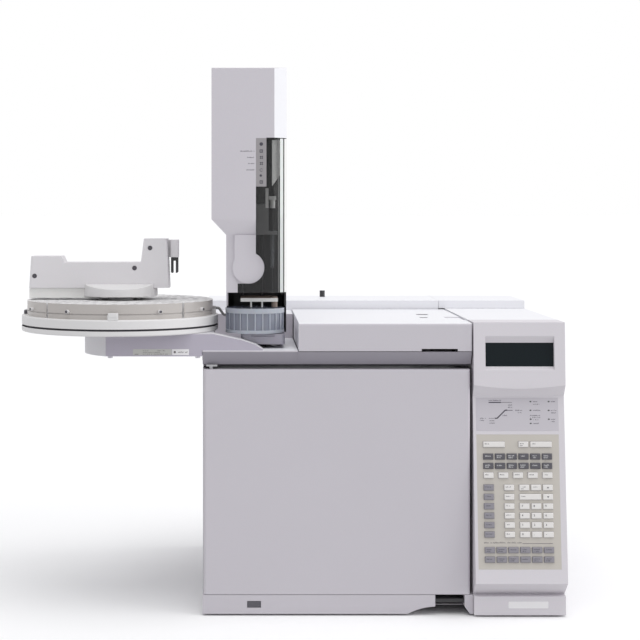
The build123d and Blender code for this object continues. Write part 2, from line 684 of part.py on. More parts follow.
def rear_cover_left():
    """Left cap, with the stub of the split vent near the back."""
    cover = rear_cover(0, REAR_SEAM_X - SEAM / 2, RAISED_Z)
    cover += block(SHEET, SHELF_WIDTH, REAR_Y, REAR_Y + SHEET, RAISED_Z - SHEET, RAISED_Z)
    cover += block(SHELF_WIDTH, REAR_SEAM_X - SEAM / 2, REAR_Y, REAR_Y + SHEET, LID_BOTTOM, RAISED_Z)
    cover += rod_z(STUB_X, STUB_Y, STUB_RADIUS, REAR_TOP_Z - SHEET, REAR_TOP_Z + STUB_HEIGHT)
    return cover


def rear_cover_right():
    """Right cap behind the console."""
    return rear_cover(REAR_SEAM_X + SEAM / 2, BODY_WIDTH, TOP_Z)


def console_top_cover():
    """Sheet cover behind the console, with the wall that carries the lid's right trunnion."""
    back = REAR_Y - SEAM
    cover = block(CONSOLE_X, BODY_WIDTH, CONSOLE_DEPTH, back, TOP_Z - SHEET, TOP_Z)
    cover += block(CONSOLE_X, CONSOLE_X + PAN_FLOOR, CONSOLE_DEPTH, back, DOOR_TOP, TOP_Z)
    return cover - rod_x(LID_PIVOT_Y, LID_PIVOT_Z, LID_PIN + RUNNING, CONSOLE_X - 1, CONSOLE_X + PAN_FLOOR + 1)


# ================================================================ oven
def heater_places():
    """X and Z of the heater's two legs."""
    reach = HEATER_RADIUS * math.sqrt(0.5)
    return [(OVEN_CX - reach, OVEN_CZ + reach), (OVEN_CX + reach, OVEN_CZ + reach)]


def oven_bores(y0, y1):
    """Cutters for the fan shaft and the heater legs through the oven's rear."""
    cuts = [rod_y(OVEN_CX, OVEN_CZ, SHAFT_RADIUS + SEAM, y0, y1)]
    return cuts + [rod_y(x, z, HEATER_LEG + SLIDING, y0, y1) for x, z in heater_places()]


def oven_liner():
    """Welded steel box open at the front, sheet by sheet, with its flange strips and the fan baffle."""
    x0, x1 = OVEN_X, OVEN_X + OVEN_WIDTH
    z0, z1 = OVEN_Z, OVEN_Z + OVEN_HEIGHT
    front, back = OVEN_Y + FLANGE, OVEN_BACK + LINER
    low, high = SKIRT_TOP + SEAM, DOOR_TOP
    flange = [block(INSULATION_LEFT, x0, OVEN_Y, front, low, high),
              block(x1, INSULATION_RIGHT, OVEN_Y, front, low, high),
              block(x0, x1, OVEN_Y, front, low, z0), block(x0, x1, OVEN_Y, front, z1, high)]
    sides = [block(x0 - LINER, x0, front, back, z0 - LINER, z1 + LINER),
             block(x1, x1 + LINER, front, back, z0 - LINER, z1 + LINER)]
    floor = block(x0, x1, front, back, z0 - LINER, z0)
    roof = block(x0, x1, front, back, z1, z1 + LINER)
    for x in (NEEDLE_X, DETECTOR_X):
        roof -= rod_z(x, NEEDLE_Y, INLET_RADIUS + SLIDING, z1 - 1, z1 + LINER + 1)
    rear = block(x0, x1, OVEN_BACK, back, z0, z1) - oven_bores(OVEN_BACK - 1, back + 1)
    baffle = block(x0, x1, BAFFLE_Y, BAFFLE_Y + LINER, z0 + BAFFLE_SLOT, z1 - BAFFLE_SLOT)
    baffle -= rod_y(OVEN_CX, OVEN_CZ, FAN_INTAKE, BAFFLE_Y - 1, BAFFLE_Y + LINER + 1)
    return flange + sides + [floor, roof, rear, baffle]


def oven_insulation():
    """Five fibre slabs packed round the liner, the lowest on the floor pan."""
    x0, x1 = OVEN_X - LINER, OVEN_X + OVEN_WIDTH + LINER
    z0, z1 = OVEN_Z - LINER, OVEN_Z + OVEN_HEIGHT + LINER
    front, back = OVEN_Y + FLANGE, OVEN_BACK + LINER
    rear = block(INSULATION_LEFT, INSULATION_RIGHT, back, INSULATION_BACK, PAN_TOP, DOOR_TOP)
    rear -= oven_bores(OVEN_BACK, INSULATION_BACK + 1)
    floor = block(INSULATION_LEFT, INSULATION_RIGHT, front, back, PAN_TOP, z0)
    roof = block(INSULATION_LEFT, INSULATION_RIGHT, front, back, z1, DOOR_TOP)
    for x in (NEEDLE_X, DETECTOR_X):
        roof -= rod_z(x, NEEDLE_Y, INLET_RADIUS + SLIDING, z1 - LINER, DOOR_TOP + 1)
    return [rear, floor, roof, block(INSULATION_LEFT, x0, front, back, z0, z1),
            block(x1, INSULATION_RIGHT, front, back, z0, z1)]


def hoop(y, radius, half):
    """A ring of bar about the oven's axis, with its edges bevelled to an eight-sided section."""
    ring = rod_y(OVEN_CX, OVEN_CZ, radius + half, y - half, y + half)
    ring -= rod_y(OVEN_CX, OVEN_CZ, radius - half, y - half - 1, y + half + 1)
    return chamfer(ring.edges().filter_by(GeomType.CIRCLE), half * (2 - math.sqrt(2)))


def heater_coil():
    """Two rings of sheathed heater around the fan, with legs out through the rear."""
    coil = hoop(HEATER_Y, HEATER_RADIUS, HEATER_WIRE) + hoop(HEATER_Y + HEATER_PITCH, HEATER_RADIUS, HEATER_WIRE)
    for x, z in heater_places():
        coil += rod_y(x, z, HEATER_LEG, HEATER_Y, INSULATION_BACK)
    return coil


def fan_motor():
    """Motor on the insulation's back, with its mounting flange, cooling fins and blind shaft bore."""
    flange = block(OVEN_CX - MOTOR_RADIUS, OVEN_CX + MOTOR_RADIUS, INSULATION_BACK, INSULATION_BACK + SHEET,
                   OVEN_CZ - MOTOR_RADIUS, OVEN_CZ + MOTOR_RADIUS)
    motor = flange + rod_y(OVEN_CX, OVEN_CZ, MOTOR_RADIUS, INSULATION_BACK, INSULATION_BACK + MOTOR_LENGTH)
    for i in range(MOTOR_FINS):
        y = INSULATION_BACK + MOTOR_LENGTH * (i + 1) / (MOTOR_FINS + 1)
        groove = rod_y(OVEN_CX, OVEN_CZ, MOTOR_RADIUS + 1, y, y + PAN_FLOOR)
        motor -= groove - rod_y(OVEN_CX, OVEN_CZ, MOTOR_RADIUS - PAN_FLOOR, y, y + PAN_FLOOR)
    bore = rod_y(OVEN_CX, OVEN_CZ, SHAFT_RADIUS + RUNNING, INSULATION_BACK - 1, INSULATION_BACK + SHAFT_SEAT + 1)
    return motor - bore


def oven_fan():
    """Centrifugal stirring fan: back disc, radial blades, hub and shaft."""
    disc = rod_y(OVEN_CX, OVEN_CZ, FAN_RADIUS, FAN_Y + FAN_DEPTH, FAN_Y + FAN_DEPTH + SHEET)
    fan = disc + rod_y(OVEN_CX, OVEN_CZ, FAN_HUB, FAN_Y, FAN_Y + FAN_DEPTH + SHEET)
    blade = Pos((FAN_RADIUS + FAN_HUB) / 2 - 1, 0, 0) * Box(FAN_RADIUS - FAN_HUB + 2, FAN_DEPTH, SHEET)
    middle = FAN_Y + FAN_DEPTH / 2
    for i in range(FAN_BLADES):
        fan += Pos(OVEN_CX, middle, OVEN_CZ) * Rot(0, 360 * i / FAN_BLADES, 0) * blade
    return fan + rod_y(OVEN_CX, OVEN_CZ, SHAFT_RADIUS, FAN_Y, INSULATION_BACK + SHAFT_SEAT)


def column_cage():
    """Wire basket that carries the column, hung from the oven's ceiling."""
    ends = (NEEDLE_Y - CAGE_DEPTH / 2, NEEDLE_Y + CAGE_DEPTH / 2)
    cage = hoop(ends[0], CAGE_RADIUS, CAGE_WIRE) + hoop(ends[1], CAGE_RADIUS, CAGE_WIRE)
    for i in range(CAGE_BARS):
        angle = 2 * math.pi * (i + 0.5) / CAGE_BARS
        x = OVEN_CX + CAGE_RADIUS * math.cos(angle)
        z = OVEN_CZ + CAGE_RADIUS * math.sin(angle)
        cage += rod_y(x, z, CAGE_BAR, ends[0], ends[1])
    for y in ends:
        cage += rod_z(OVEN_CX, y, CAGE_BAR, OVEN_CZ + CAGE_RADIUS, OVEN_Z + OVEN_HEIGHT)
    return cage


def capillary_column():
    """Wound column as one bundle, with its two ends up to the inlet and the detector."""
    column = Pos(OVEN_CX, NEEDLE_Y, OVEN_CZ) * Rot(90, 0, 0) * Torus(COLUMN_RADIUS, COLUMN_BUNDLE)
    for x in (NEEDLE_X, DETECTOR_X):
        column += rod_z(x, NEEDLE_Y, COLUMN_TUBE, OVEN_CZ, COLUMN_NUT_Z)
    return column


def fitting_stack(x, wide_z, cap_radius, top):
    """Column nut, body and flange shared by the inlet and the detector."""
    stack = rod_z(x, NEEDLE_Y, NUT_RADIUS, COLUMN_NUT_Z, OVEN_Z + OVEN_HEIGHT)
    stack += rod_z(x, NEEDLE_Y, INLET_RADIUS, OVEN_Z + OVEN_HEIGHT, wide_z)
    stack += rod_z(x, NEEDLE_Y, INLET_FLANGE, DOOR_TOP, DOOR_TOP + MOULDING)
    return stack + rod_z(x, NEEDLE_Y, cap_radius, wide_z, top)


def front_inlet():
    """Heated inlet under the tower: body, flange and septum nut with the needle bore and knurled flats."""
    inlet = fitting_stack(NEEDLE_X, SHELF_Z - SHEET, SEPTUM_NUT, INLET_TOP)
    inlet -= rod_z(NEEDLE_X, NEEDLE_Y, NEEDLE_RADIUS + SLIDING, NEEDLE_TIP - CARRIAGE_TRAVEL - 3, INLET_TOP + 1)
    return inlet


def flame_detector():
    """Detector under the lid: heated base, jet tower and collector with its cable stub."""
    detector = fitting_stack(DETECTOR_X, FASCIA_TOP, COLLECTOR_RADIUS, DETECTOR_TOP)
    detector += rod_y(DETECTOR_X, DETECTOR_TOP - 2 * NUT_RADIUS, NUT_RADIUS, NEEDLE_Y, NEEDLE_Y + 3 * NUT_RADIUS)
    return detector - rod_z(DETECTOR_X, NEEDLE_Y, NUT_RADIUS, DETECTOR_TOP - NUT_RADIUS, DETECTOR_TOP + 1)


def oven_door_skin():
    """Painted door pan, open at the back, with corner blocks bored for the hinge pins."""
    outer = block(DOOR_LEFT, DOOR_RIGHT, 0, DOOR_SKIN_DEPTH, DOOR_BOTTOM, DOOR_TOP)
    outer = fillet(outer.edges().filter_by(Axis.Z).group_by(Axis.Y)[0], DOOR_CORNER)
    wall = DOOR_WALL
    skin = outer - block(DOOR_LEFT + wall, DOOR_RIGHT - wall, wall, DOOR_SKIN_DEPTH + 1,
                         DOOR_BOTTOM + wall, DOOR_TOP - wall)
    reach = DOOR_PIN_REACH + SEAM
    for z0, z1 in ((DOOR_BOTTOM, DOOR_BOTTOM + reach), (DOOR_TOP - reach, DOOR_TOP)):
        skin += block(DOOR_LEFT + 1, DOOR_PIN_X + 8, 1, DOOR_LINER_SEAT, z0, z1)
        skin -= rod_z(DOOR_PIN_X, DOOR_PIN_Y, DOOR_PIN_RADIUS + RUNNING, z0 - 1, z1 + 1)
    return skin


def oven_door_liner():
    """Pressed pan of the door's plug with the sheet that closes the door's back."""
    wall = DOOR_WALL
    sheet = block(DOOR_LEFT + wall, DOOR_RIGHT - wall, DOOR_LINER_SEAT, DOOR_SKIN_DEPTH,
                  DOOR_BOTTOM + wall, DOOR_TOP - wall)
    plug = block(DOOR_LEFT + DOOR_LINER_INSET, DOOR_RIGHT - DOOR_LINER_INSET, wall, DOOR_LINER_BACK,
                 DOOR_BOTTOM + DOOR_LINER_INSET, DOOR_TOP - DOOR_LINER_INSET)
    back = plug.faces().sort_by(Axis.Y)[-1]
    plug = chamfer(back.edges(), DOOR_PLUG_CHAMFER)
    inset = DOOR_LINER_INSET + wall
    return sheet + plug - block(DOOR_LEFT + inset, DOOR_RIGHT - inset, wall - 1, DOOR_LINER_BACK - wall,
                                DOOR_BOTTOM + inset, DOOR_TOP - inset)


def door_hinge_pins():
    """Lower pin with its washer on the skirt, and upper pin on a strap under the fascia."""
    lower = rod_z(DOOR_PIN_X, DOOR_PIN_Y, DOOR_PIN_RADIUS, SKIRT_TOP, DOOR_BOTTOM + DOOR_PIN_REACH)
    lower += rod_z(DOOR_PIN_X, DOOR_PIN_Y, 2 * DOOR_PIN_RADIUS, SKIRT_TOP, DOOR_BOTTOM - SLIDING)
    strap_z = FASCIA_BOTTOM - MOULDING
    upper = block(DOOR_PIN_X - 8, DOOR_PIN_X + 10, DOOR_PIN_Y - 6, FASCIA_LIP, strap_z, FASCIA_BOTTOM)
    upper += rod_z(DOOR_PIN_X, DOOR_PIN_Y, DOOR_PIN_RADIUS, DOOR_TOP - DOOR_PIN_REACH, strap_z)
    return [lower, upper]


def door_latch():
    """Latch bar with a grip lip, on two trunnions in the skirt's scoop."""
    left = LATCH_LEFT - PAN_FLOOR + SEAM
    right = LATCH_RIGHT + PAN_FLOOR - SEAM
    bar = block(left, right, LATCH_FRONT, LATCH_PIVOT_Y + 3, LATCH_Z, LATCH_Z + LATCH_THICK)
    bar = fillet(bar.edges().filter_by(Axis.X).group_by(Axis.Y)[0], 2)
    bar -= block(left + 4, right - 4, LATCH_FRONT + 4, LATCH_PIVOT_Y - 6, LATCH_Z - 1, LATCH_Z + 3)
    return bar + rod_x(LATCH_PIVOT_Y, LATCH_PIVOT_Z, LATCH_PIN, left - 4, right + 4)


def power_button():
    """Push button in the skirt."""
    half_w = BUTTON_WIDTH / 2
    half_h = BUTTON_HEIGHT / 2
    button = block(BUTTON_X - half_w, BUTTON_X + half_w, 0, BUTTON_DEPTH, BUTTON_Z - half_h, BUTTON_Z + half_h)
    return fillet(button.edges().group_by(Axis.Y)[0], 1)


# ================================================================ services inside
def main_board():
    """Circuit board behind the keypad on four pillars."""
    board = on_slope(PLATE_LEFT, PLATE_RIGHT, BOARD_LOW, BOARD_HIGH, -BOARD_DEPTH - SHEET, -BOARD_DEPTH)
    for x in (PLATE_LEFT + PLATE_LEDGE / 2, PLATE_RIGHT - PLATE_LEDGE / 2):
        for u in (BOARD_LOW + 10, BOARD_HIGH - 10):
            board += slope_place(x, u, -(BOARD_DEPTH + MOULDING) / 2) * Cylinder(SHEET, BOARD_DEPTH - MOULDING)
    left = PLATE_LEFT + BOARD_CHIP_LEFT
    half = BOARD_CHIP_HEIGHT / 2
    for i in range(BOARD_CHIPS):
        u = BOARD_LOW + (BOARD_HIGH - BOARD_LOW) * (i + 0.5) / BOARD_CHIPS
        board += on_slope(left, left + BOARD_CHIP, u - half, u + half,
                          -BOARD_DEPTH - SHEET - MOULDING, -BOARD_DEPTH - SHEET)
    return board


def power_supply():
    """Supply box on the floor pan, and the mains inlet socket with its three blades."""
    half_w = INLET_SOCKET_WIDTH / 2
    half_h = INLET_SOCKET_HEIGHT / 2
    floor = BODY_BACK - SOCKET_DEPTH
    shell = block(SOCKET_X - half_w - SOCKET_WALL, SOCKET_X + half_w + SOCKET_WALL, floor - SOCKET_WALL, BODY_BACK,
                  SOCKET_Z - half_h - SOCKET_WALL, SOCKET_Z + half_h + SOCKET_WALL)
    box = block(SUPPLY_LEFT, SUPPLY_RIGHT, SUPPLY_FRONT, BODY_BACK - SHEET - PAN_FLOOR, PAN_TOP, SUPPLY_TOP) - shell
    socket = shell - block(SOCKET_X - half_w, SOCKET_X + half_w, floor, BODY_BACK + 1,
                           SOCKET_Z - half_h, SOCKET_Z + half_h)
    for dx, dz in ((-BLADE_PITCH, -2), (0, 2), (BLADE_PITCH, -2)):
        socket += block(SOCKET_X + dx - 1, SOCKET_X + dx + 1, floor - 1, BODY_BACK - BLADE_RECESS,
                        SOCKET_Z + dz - 2, SOCKET_Z + dz + 2)
    return [box, socket]


def epc_manifold():
    """Gas control block on the back panel with its valves, and the fittings that stand through the sheet."""
    back = BODY_BACK - SHEET
    half = FITTINGS * FITTING_PITCH / 2
    manifold = block(MANIFOLD_X - half, MANIFOLD_X + half, back - MANIFOLD_DEPTH, back,
                     FITTING_Z - MANIFOLD_HALF, FITTING_Z + MANIFOLD_HALF)
    fittings = []
    for x in fitting_places():
        front = back - MANIFOLD_DEPTH
        manifold += rod_y(x, FITTING_Z, FITTING_RADIUS, front - VALVE_LENGTH, front)
        tube = rod_y(x, FITTING_Z, FITTING_RADIUS, back, BODY_BACK + FITTING_REACH)
        tube += rod_y(x, FITTING_Z, FITTING_FLANGE, BODY_BACK, BODY_BACK + MOULDING)
        fittings.append(tube - rod_y(x, FITTING_Z, FITTING_BORE, back - 1, BODY_BACK + FITTING_REACH + 1))
    return [manifold] + fittings


# ================================================================ console
def slope_place(x, u, n):
    """A place on the console's sloped face: u runs up the slope and n straight out of it."""
    place = Pos(x, PANEL_BOTTOM_Y, PANEL_BOTTOM_Z) * Rot(90 - math.degrees(SLOPE), 0, 0)
    return place * Pos(0, u, n)


def on_slope(x0, x1, u0, u1, n0, n1):
    """A box that lies along the sloped face."""
    return slope_place((x0 + x1) / 2, (u0 + u1) / 2, (n0 + n1) / 2) * Box(x1 - x0, u1 - u0, n1 - n0)


def slope_u(z):
    """Distance up the slope at which its face reaches height z."""
    return (z - PANEL_BOTTOM_Z) / math.cos(SLOPE)


def brow_y(z):
    """Y of the display face at height z."""
    return BROW_Y * (TOP_Z - z) / (TOP_Z - DISPLAY_BROW_Z)


def console_bezel():
    """Moulded front of the console: base, leaning keypad face, overhanging display brow and open back."""
    wall = MOULDING
    profile = [(CONSOLE_DEPTH, SKIRT_Z), (BASE_Y, SKIRT_Z), (BASE_Y, SKIRT_TOP), (CHIN_Y, CHIN_Z),
               (PANEL_BOTTOM_Y, PANEL_BOTTOM_Z), (PANEL_TOP_Y, PANEL_TOP_Z), (BROW_Y, DISPLAY_BROW_Z),
               (0, TOP_Z), (CONSOLE_DEPTH, TOP_Z)]
    outline = make_face(Polyline(*[(CONSOLE_X, y, z) for y, z in profile], close=True).edges())
    bezel = extrude(outline, amount=BODY_WIDTH - CONSOLE_X, dir=(1, 0, 0))
    hollow = Pos(wall, 0, 0) * offset(outline, amount=-wall)
    bezel -= extrude(hollow, amount=BODY_WIDTH - CONSOLE_X - 2 * wall, dir=(1, 0, 0))
    bezel -= block(CONSOLE_X + wall, BODY_WIDTH - wall, CONSOLE_DEPTH - wall - 1, CONSOLE_DEPTH + 1,
                   SKIRT_Z + wall, TOP_Z - wall)
    middle = (CONSOLE_X + BODY_WIDTH) / 2
    sag = ThreePointArc((CONSOLE_X, BROW_Y, DISPLAY_BROW_Z), (middle, BROW_Y, DISPLAY_BROW_Z - STATUS_SAG),
                        (BODY_WIDTH, BROW_Y, DISPLAY_BROW_Z))
    chord = Line((BODY_WIDTH, BROW_Y, DISPLAY_BROW_Z), (CONSOLE_X, BROW_Y, DISPLAY_BROW_Z))
    lip = make_face(sag.edges() + chord.edges())
    bezel += extrude(lip, amount=PANEL_TOP_Y - BROW_Y, dir=(0, 1, 0))
    bezel += window_frame(wall)
    bezel -= window_flare()
    for low, high in ((KEYPAD_BOTTOM_Z, KEYPAD_TOP_Z), (STATUS_BOTTOM_Z, STATUS_TOP_Z)):
        u0 = slope_u(low)
        u1 = slope_u(high)
        bezel -= on_slope(PLATE_LEFT, PLATE_RIGHT, u0, u1, -PLATE, PROUD_CUT)
        bezel -= on_slope(PLATE_LEFT + PLATE_LEDGE, PLATE_RIGHT - PLATE_LEDGE,
                          u0 + PLATE_LEDGE, u1 - PLATE_LEDGE, -wall - 2, 0)
    return bezel


def window_frame(wall):
    """Box inside the brow that backs the flared frame."""
    low = WINDOW_BOTTOM - WINDOW_FLARE_BOTTOM - wall
    high = WINDOW_TOP + WINDOW_FLARE_TOP + wall
    back = WINDOW_RECESS + WINDOW_THICK
    profile = [(brow_y(low) + wall / 2, low), (brow_y(high) + wall / 2, high), (back, high), (back, low)]
    return prism_x(profile, WINDOW_LEFT - wall, WINDOW_RIGHT + wall)


def window_flare():
    """Cutter for the window's opening, whose upper and lower sides flare towards the front."""
    low = WINDOW_BOTTOM - WINDOW_FLARE_BOTTOM
    high = WINDOW_TOP + WINDOW_FLARE_TOP
    front = BROW_Y - 2 * MOULDING
    back = WINDOW_RECESS + WINDOW_THICK + 1
    profile = [(front, low), (brow_y(low), low), (brow_y(WINDOW_BOTTOM) + WINDOW_RECESS, WINDOW_BOTTOM),
               (back, WINDOW_BOTTOM), (back, WINDOW_TOP), (brow_y(WINDOW_TOP) + WINDOW_RECESS, WINDOW_TOP),
               (brow_y(high), high), (front, high)]
    return prism_x(profile, WINDOW_LEFT, WINDOW_RIGHT)


def display_window():
    """Clear window at the bottom of the flared frame."""
    front = [(brow_y(z) + WINDOW_RECESS, z) for z in (WINDOW_BOTTOM, WINDOW_TOP)]
    back = [(y + WINDOW_THICK, z) for y, z in reversed(front)]
    return prism_x(front + back, WINDOW_LEFT, WINDOW_RIGHT)


def status_panel():
    """Status overlay plate above the keys."""
    return on_slope(PLATE_LEFT, PLATE_RIGHT, slope_u(STATUS_BOTTOM_Z), slope_u(STATUS_TOP_Z), -PLATE, 0)


def row_u(row):
    """Distance up the slope of a row of keys; the rows count down from the top in four groups."""
    u = slope_u(KEY_BOTTOM_Z) + KEY_ROW * (KEY_ROWS - row)
    if row <= METHOD_ROW:
        u += METHOD_GAP
    if row <= PROGRAM_ROW:
        u += GROUP_GAP
    if row <= 1:
        u += GROUP_GAP
    return u


def column_x(column):
    """Middle of a column of keys."""
    return KEY_COLUMN + KEY_PITCH * (column - 1)


def key_places():
    """Each group of keys as (x, row, width), by the name of its sub-part."""
    wide = KEY_PITCH + KEY_WIDTH
    columns = range(1, KEY_COLUMNS + 1)
    pad_rows = range(PROGRAM_ROW + 1, METHOD_ROW + 1)
    program_pitch = KEY_PITCH * (KEY_COLUMNS - 1) / (PROGRAM_KEYS - 1)
    numbers = [(column_x(4.5), PROGRAM_ROW + 2, wide), (column_x(6), PROGRAM_ROW + 2, KEY_WIDTH)]
    numbers += [(column_x(c), r, KEY_WIDTH) for r in pad_rows if r != PROGRAM_ROW + 2 for c in (4, 5, 6)]
    return {
        "start_key": [(column_x(1.5), 1, wide)],
        "stop_key": [(column_x(4), 1, KEY_WIDTH)],
        "prep_run_key": [(column_x(5.5), 1, wide)],
        "zone_keys": [(column_x(c), r, KEY_WIDTH) for r in (2, 3) for c in columns],
        "program_keys": [(KEY_COLUMN + program_pitch * i, PROGRAM_ROW, KEY_WIDTH) for i in range(PROGRAM_KEYS)],
        "function_keys": [(column_x(1), r, KEY_WIDTH) for r in pad_rows],
        "entry_keys": [(column_x(ENTRY_COLUMN), r, KEY_WIDTH) for r in pad_rows],
        "numeric_keys": numbers,
        "method_keys": [(column_x(c), r, KEY_WIDTH) for r in (KEY_ROWS - 1, KEY_ROWS) for c in columns],
    }


def keypad_plate():
    """Keypad overlay plate with an opening for every key."""
    plate = on_slope(PLATE_LEFT, PLATE_RIGHT, slope_u(KEYPAD_BOTTOM_Z), slope_u(KEYPAD_TOP_Z), -PLATE, 0)
    half_h = KEY_HEIGHT / 2 + KEY_CLEARANCE
    holes = []
    for places in key_places().values():
        for x, row, width in places:
            half_w = width / 2 + KEY_CLEARANCE
            u = row_u(row)
            holes.append(on_slope(x - half_w, x + half_w, u - half_h, u + half_h, -PLATE - 1, 1))
    return plate - holes


def keys(places):
    """Bevelled keys that stand through the plate."""
    shapes = []
    for x, row, width in places:
        cap = Box(width, KEY_HEIGHT, KEY_PROUD + KEY_ROOT)
        cap = chamfer(cap.faces().sort_by(Axis.Z)[-1].edges(), KEY_BEVEL)
        shapes.append(slope_place(x, row_u(row), (KEY_PROUD - KEY_ROOT) / 2) * cap)
    return shapes


# ================================================================ injector tower
def tower_plan(inset):
    """Plan outline with the chamfered front corner, moved inwards by inset."""
    left = TOWER_LEFT + inset
    right = TOWER_RIGHT - inset
    front = TOWER_FRONT + inset
    back = TOWER_BACK - inset
    cut = TOWER_CHAMFER - inset * (2 - math.sqrt(2))
    return [(left, front), (right - cut, front), (right, front + cut), (right, back), (left, back)]


def lean_rise(run, drop, inset):
    """How far a slanted edge's corner rises when its two faces move inwards by inset."""
    length = math.hypot(run, drop)
    return inset * (1 - drop / length) / (run / length)


def tower_form(inset):
    """The tower's outer form moved inwards by inset: chamfer, crowned top, waist on the left, bevelled front."""
    low = TOWER_BASE_TOP - inset
    high = TOWER_TOP - inset
    body = prism_z(tower_plan(inset), low, TOWER_TOP + TOWER_CROWN)
    middle = (TOWER_FRONT + TOWER_BACK) / 2
    crown = ThreePointArc((0, TOWER_FRONT, high), (0, middle, high + TOWER_CROWN), (0, TOWER_BACK, high))
    sides = Polyline((0, TOWER_BACK, high), (0, TOWER_BACK, low - 1), (0, TOWER_FRONT, low - 1),
                     (0, TOWER_FRONT, high))
    body &= extrude(make_face(crown.edges() + sides.edges()), amount=TOWER_RIGHT, dir=(1, 0, 0))
    drop = BEVEL_TOP - BEVEL_BOTTOM
    run = TOWER_WAIST - TOWER_LEFT
    rise = lean_rise(run, drop, inset)
    body -= prism_y([(TOWER_LEFT + inset - run, BEVEL_TOP + rise + drop),
                     (TOWER_WAIST + inset, BEVEL_BOTTOM + rise), (TOWER_WAIST + inset, low - 1),
                     (TOWER_LEFT + inset - run, low - 1)], 0, TOWER_BACK)
    run = LOBE_Y - TOWER_FRONT
    rise = lean_rise(run, drop, inset)
    body -= prism_x([(TOWER_FRONT + inset - run, BEVEL_TOP + rise + drop), (LOBE_Y + inset, BEVEL_BOTTOM + rise),
                     (LOBE_Y + inset, low - 1), (TOWER_FRONT + inset - run, low - 1)], 0, TOWER_RIGHT)
    return body


def window_region(grow):
    """Space of the smoked door seen from the front, wider by grow: stepped at the top, curved round the lobe."""
    right = TOWER_RIGHT + 1
    front = TOWER_FRONT - 1
    low = LOWER_Z - grow
    foot = LOBE_Z - LOBE_RADIUS + grow
    region = block(STRIP_RIGHT - grow, right, front, WINDOW_PIVOT_Y, low, DOOR_WINDOW_TOP + grow)
    region += block(LOBE_EDGE - grow, right, front, WINDOW_PIVOT_Y, low, STRIP_BOTTOM + grow)
    region += block(LOBE_X, right, front, WINDOW_PIVOT_Y, low, LOBE_Z)
    region += block(LOBE_LEG - grow, right, front, WINDOW_PIVOT_Y, low, foot)
    return region - rod_y(LOBE_X, LOBE_Z, LOBE_RADIUS - grow, front - 1, WINDOW_PIVOT_Y + 1)


def tower_shell():
    """The tower's cover as one thin-walled form, before it is split."""
    return tower_form(0) - tower_form(MOULDING)


def tower_front_cover():
    """Front moulding with the window opening, the pocket of the indicator strip and the lobed tongue."""
    cover = tower_shell() & block(0, TOWER_RIGHT, 0, COVER_SPLIT, LOWER_Z, TOWER_TOP + TOWER_CROWN)
    tongue = block(TONGUE_LEFT, LOBE_EDGE, LOBE_Y - TONGUE_RAISE, LOBE_Y, LOBE_Z, BEVEL_BOTTOM)
    tongue += rod_y(LOBE_X, LOBE_Z, LOBE_RADIUS - WINDOW_GAP, LOBE_Y - TONGUE_RAISE, LOBE_Y)
    cover -= window_region(WINDOW_GAP)
    cover += tongue - window_region(WINDOW_GAP)
    return cover - block(STRIP_LEFT, STRIP_RIGHT - WINDOW_GAP + 1, TOWER_FRONT - 1, TOWER_FRONT + STRIP_DEPTH,
                         STRIP_BOTTOM + WINDOW_GAP, DOOR_WINDOW_TOP)


def indicator_strip():
    """Strip of indicator marks in its pocket beside the door."""
    return block(STRIP_LEFT, STRIP_RIGHT - WINDOW_GAP, TOWER_FRONT, TOWER_FRONT + STRIP_DEPTH,
                 STRIP_BOTTOM + WINDOW_GAP, DOOR_WINDOW_TOP)


def tower_housing():
    """Rear moulding of the tower, open round the turret, with the two lugs that carry the door's pins."""
    housing = tower_shell() & block(0, TOWER_RIGHT, COVER_SPLIT, TOWER_BACK, TOWER_BASE_TOP,
                                    TOWER_TOP + TOWER_CROWN)
    edge = WINDOW_PIVOT_Y + WINDOW_BARREL + WINDOW_GAP
    housing -= block(TOWER_RIGHT - MOULDING - 1, TOWER_RIGHT + 1, COVER_SPLIT - 1, edge, LOWER_Z - WINDOW_GAP,
                     DOOR_WINDOW_TOP + WINDOW_GAP)
    housing -= rod_z(TURRET_X, TURRET_Y, TURRET_RADIUS + TURRET_CLEAR, TOWER_BASE_TOP - 1,
                     TURRET_TOP + TURRET_CLEAR)
    pin_x = TOWER_RIGHT - WINDOW_BARREL
    upper = (DOOR_WINDOW_TOP + SLIDING, DOOR_WINDOW_TOP + LUG, DOOR_WINDOW_TOP - WINDOW_PIN_REACH)
    lower = (LOWER_Z - LUG, LOWER_Z - SLIDING, LOWER_Z + WINDOW_PIN_REACH)
    for inner, outer, tip in (upper, lower):
        housing += block(pin_x - LUG, TOWER_RIGHT, WINDOW_PIVOT_Y - LUG, WINDOW_PIVOT_Y + LUG, inner, outer)
        housing += rod_z(pin_x, WINDOW_PIVOT_Y, WINDOW_PIN, min(inner, tip), max(outer, tip))
    return housing


def tower_door():
    """Smoked door that wraps the chamfered corner, with a hinge barrel down its rear edge."""
    low = LOWER_Z
    high = DOOR_WINDOW_TOP
    door = prism_z(tower_plan(0), low, high) - prism_z(tower_plan(WINDOW_WALL), low - 1, high + 1)
    door &= window_region(0)
    pin_x = TOWER_RIGHT - WINDOW_BARREL
    door += rod_z(pin_x, WINDOW_PIVOT_Y, WINDOW_BARREL, low, high)
    for z0, z1 in ((low - 1, low + WINDOW_PIN_REACH + SEAM), (high - WINDOW_PIN_REACH - SEAM, high + 1)):
        door -= rod_z(pin_x, WINDOW_PIVOT_Y, WINDOW_PIN + RUNNING, z0, z1)
    return door


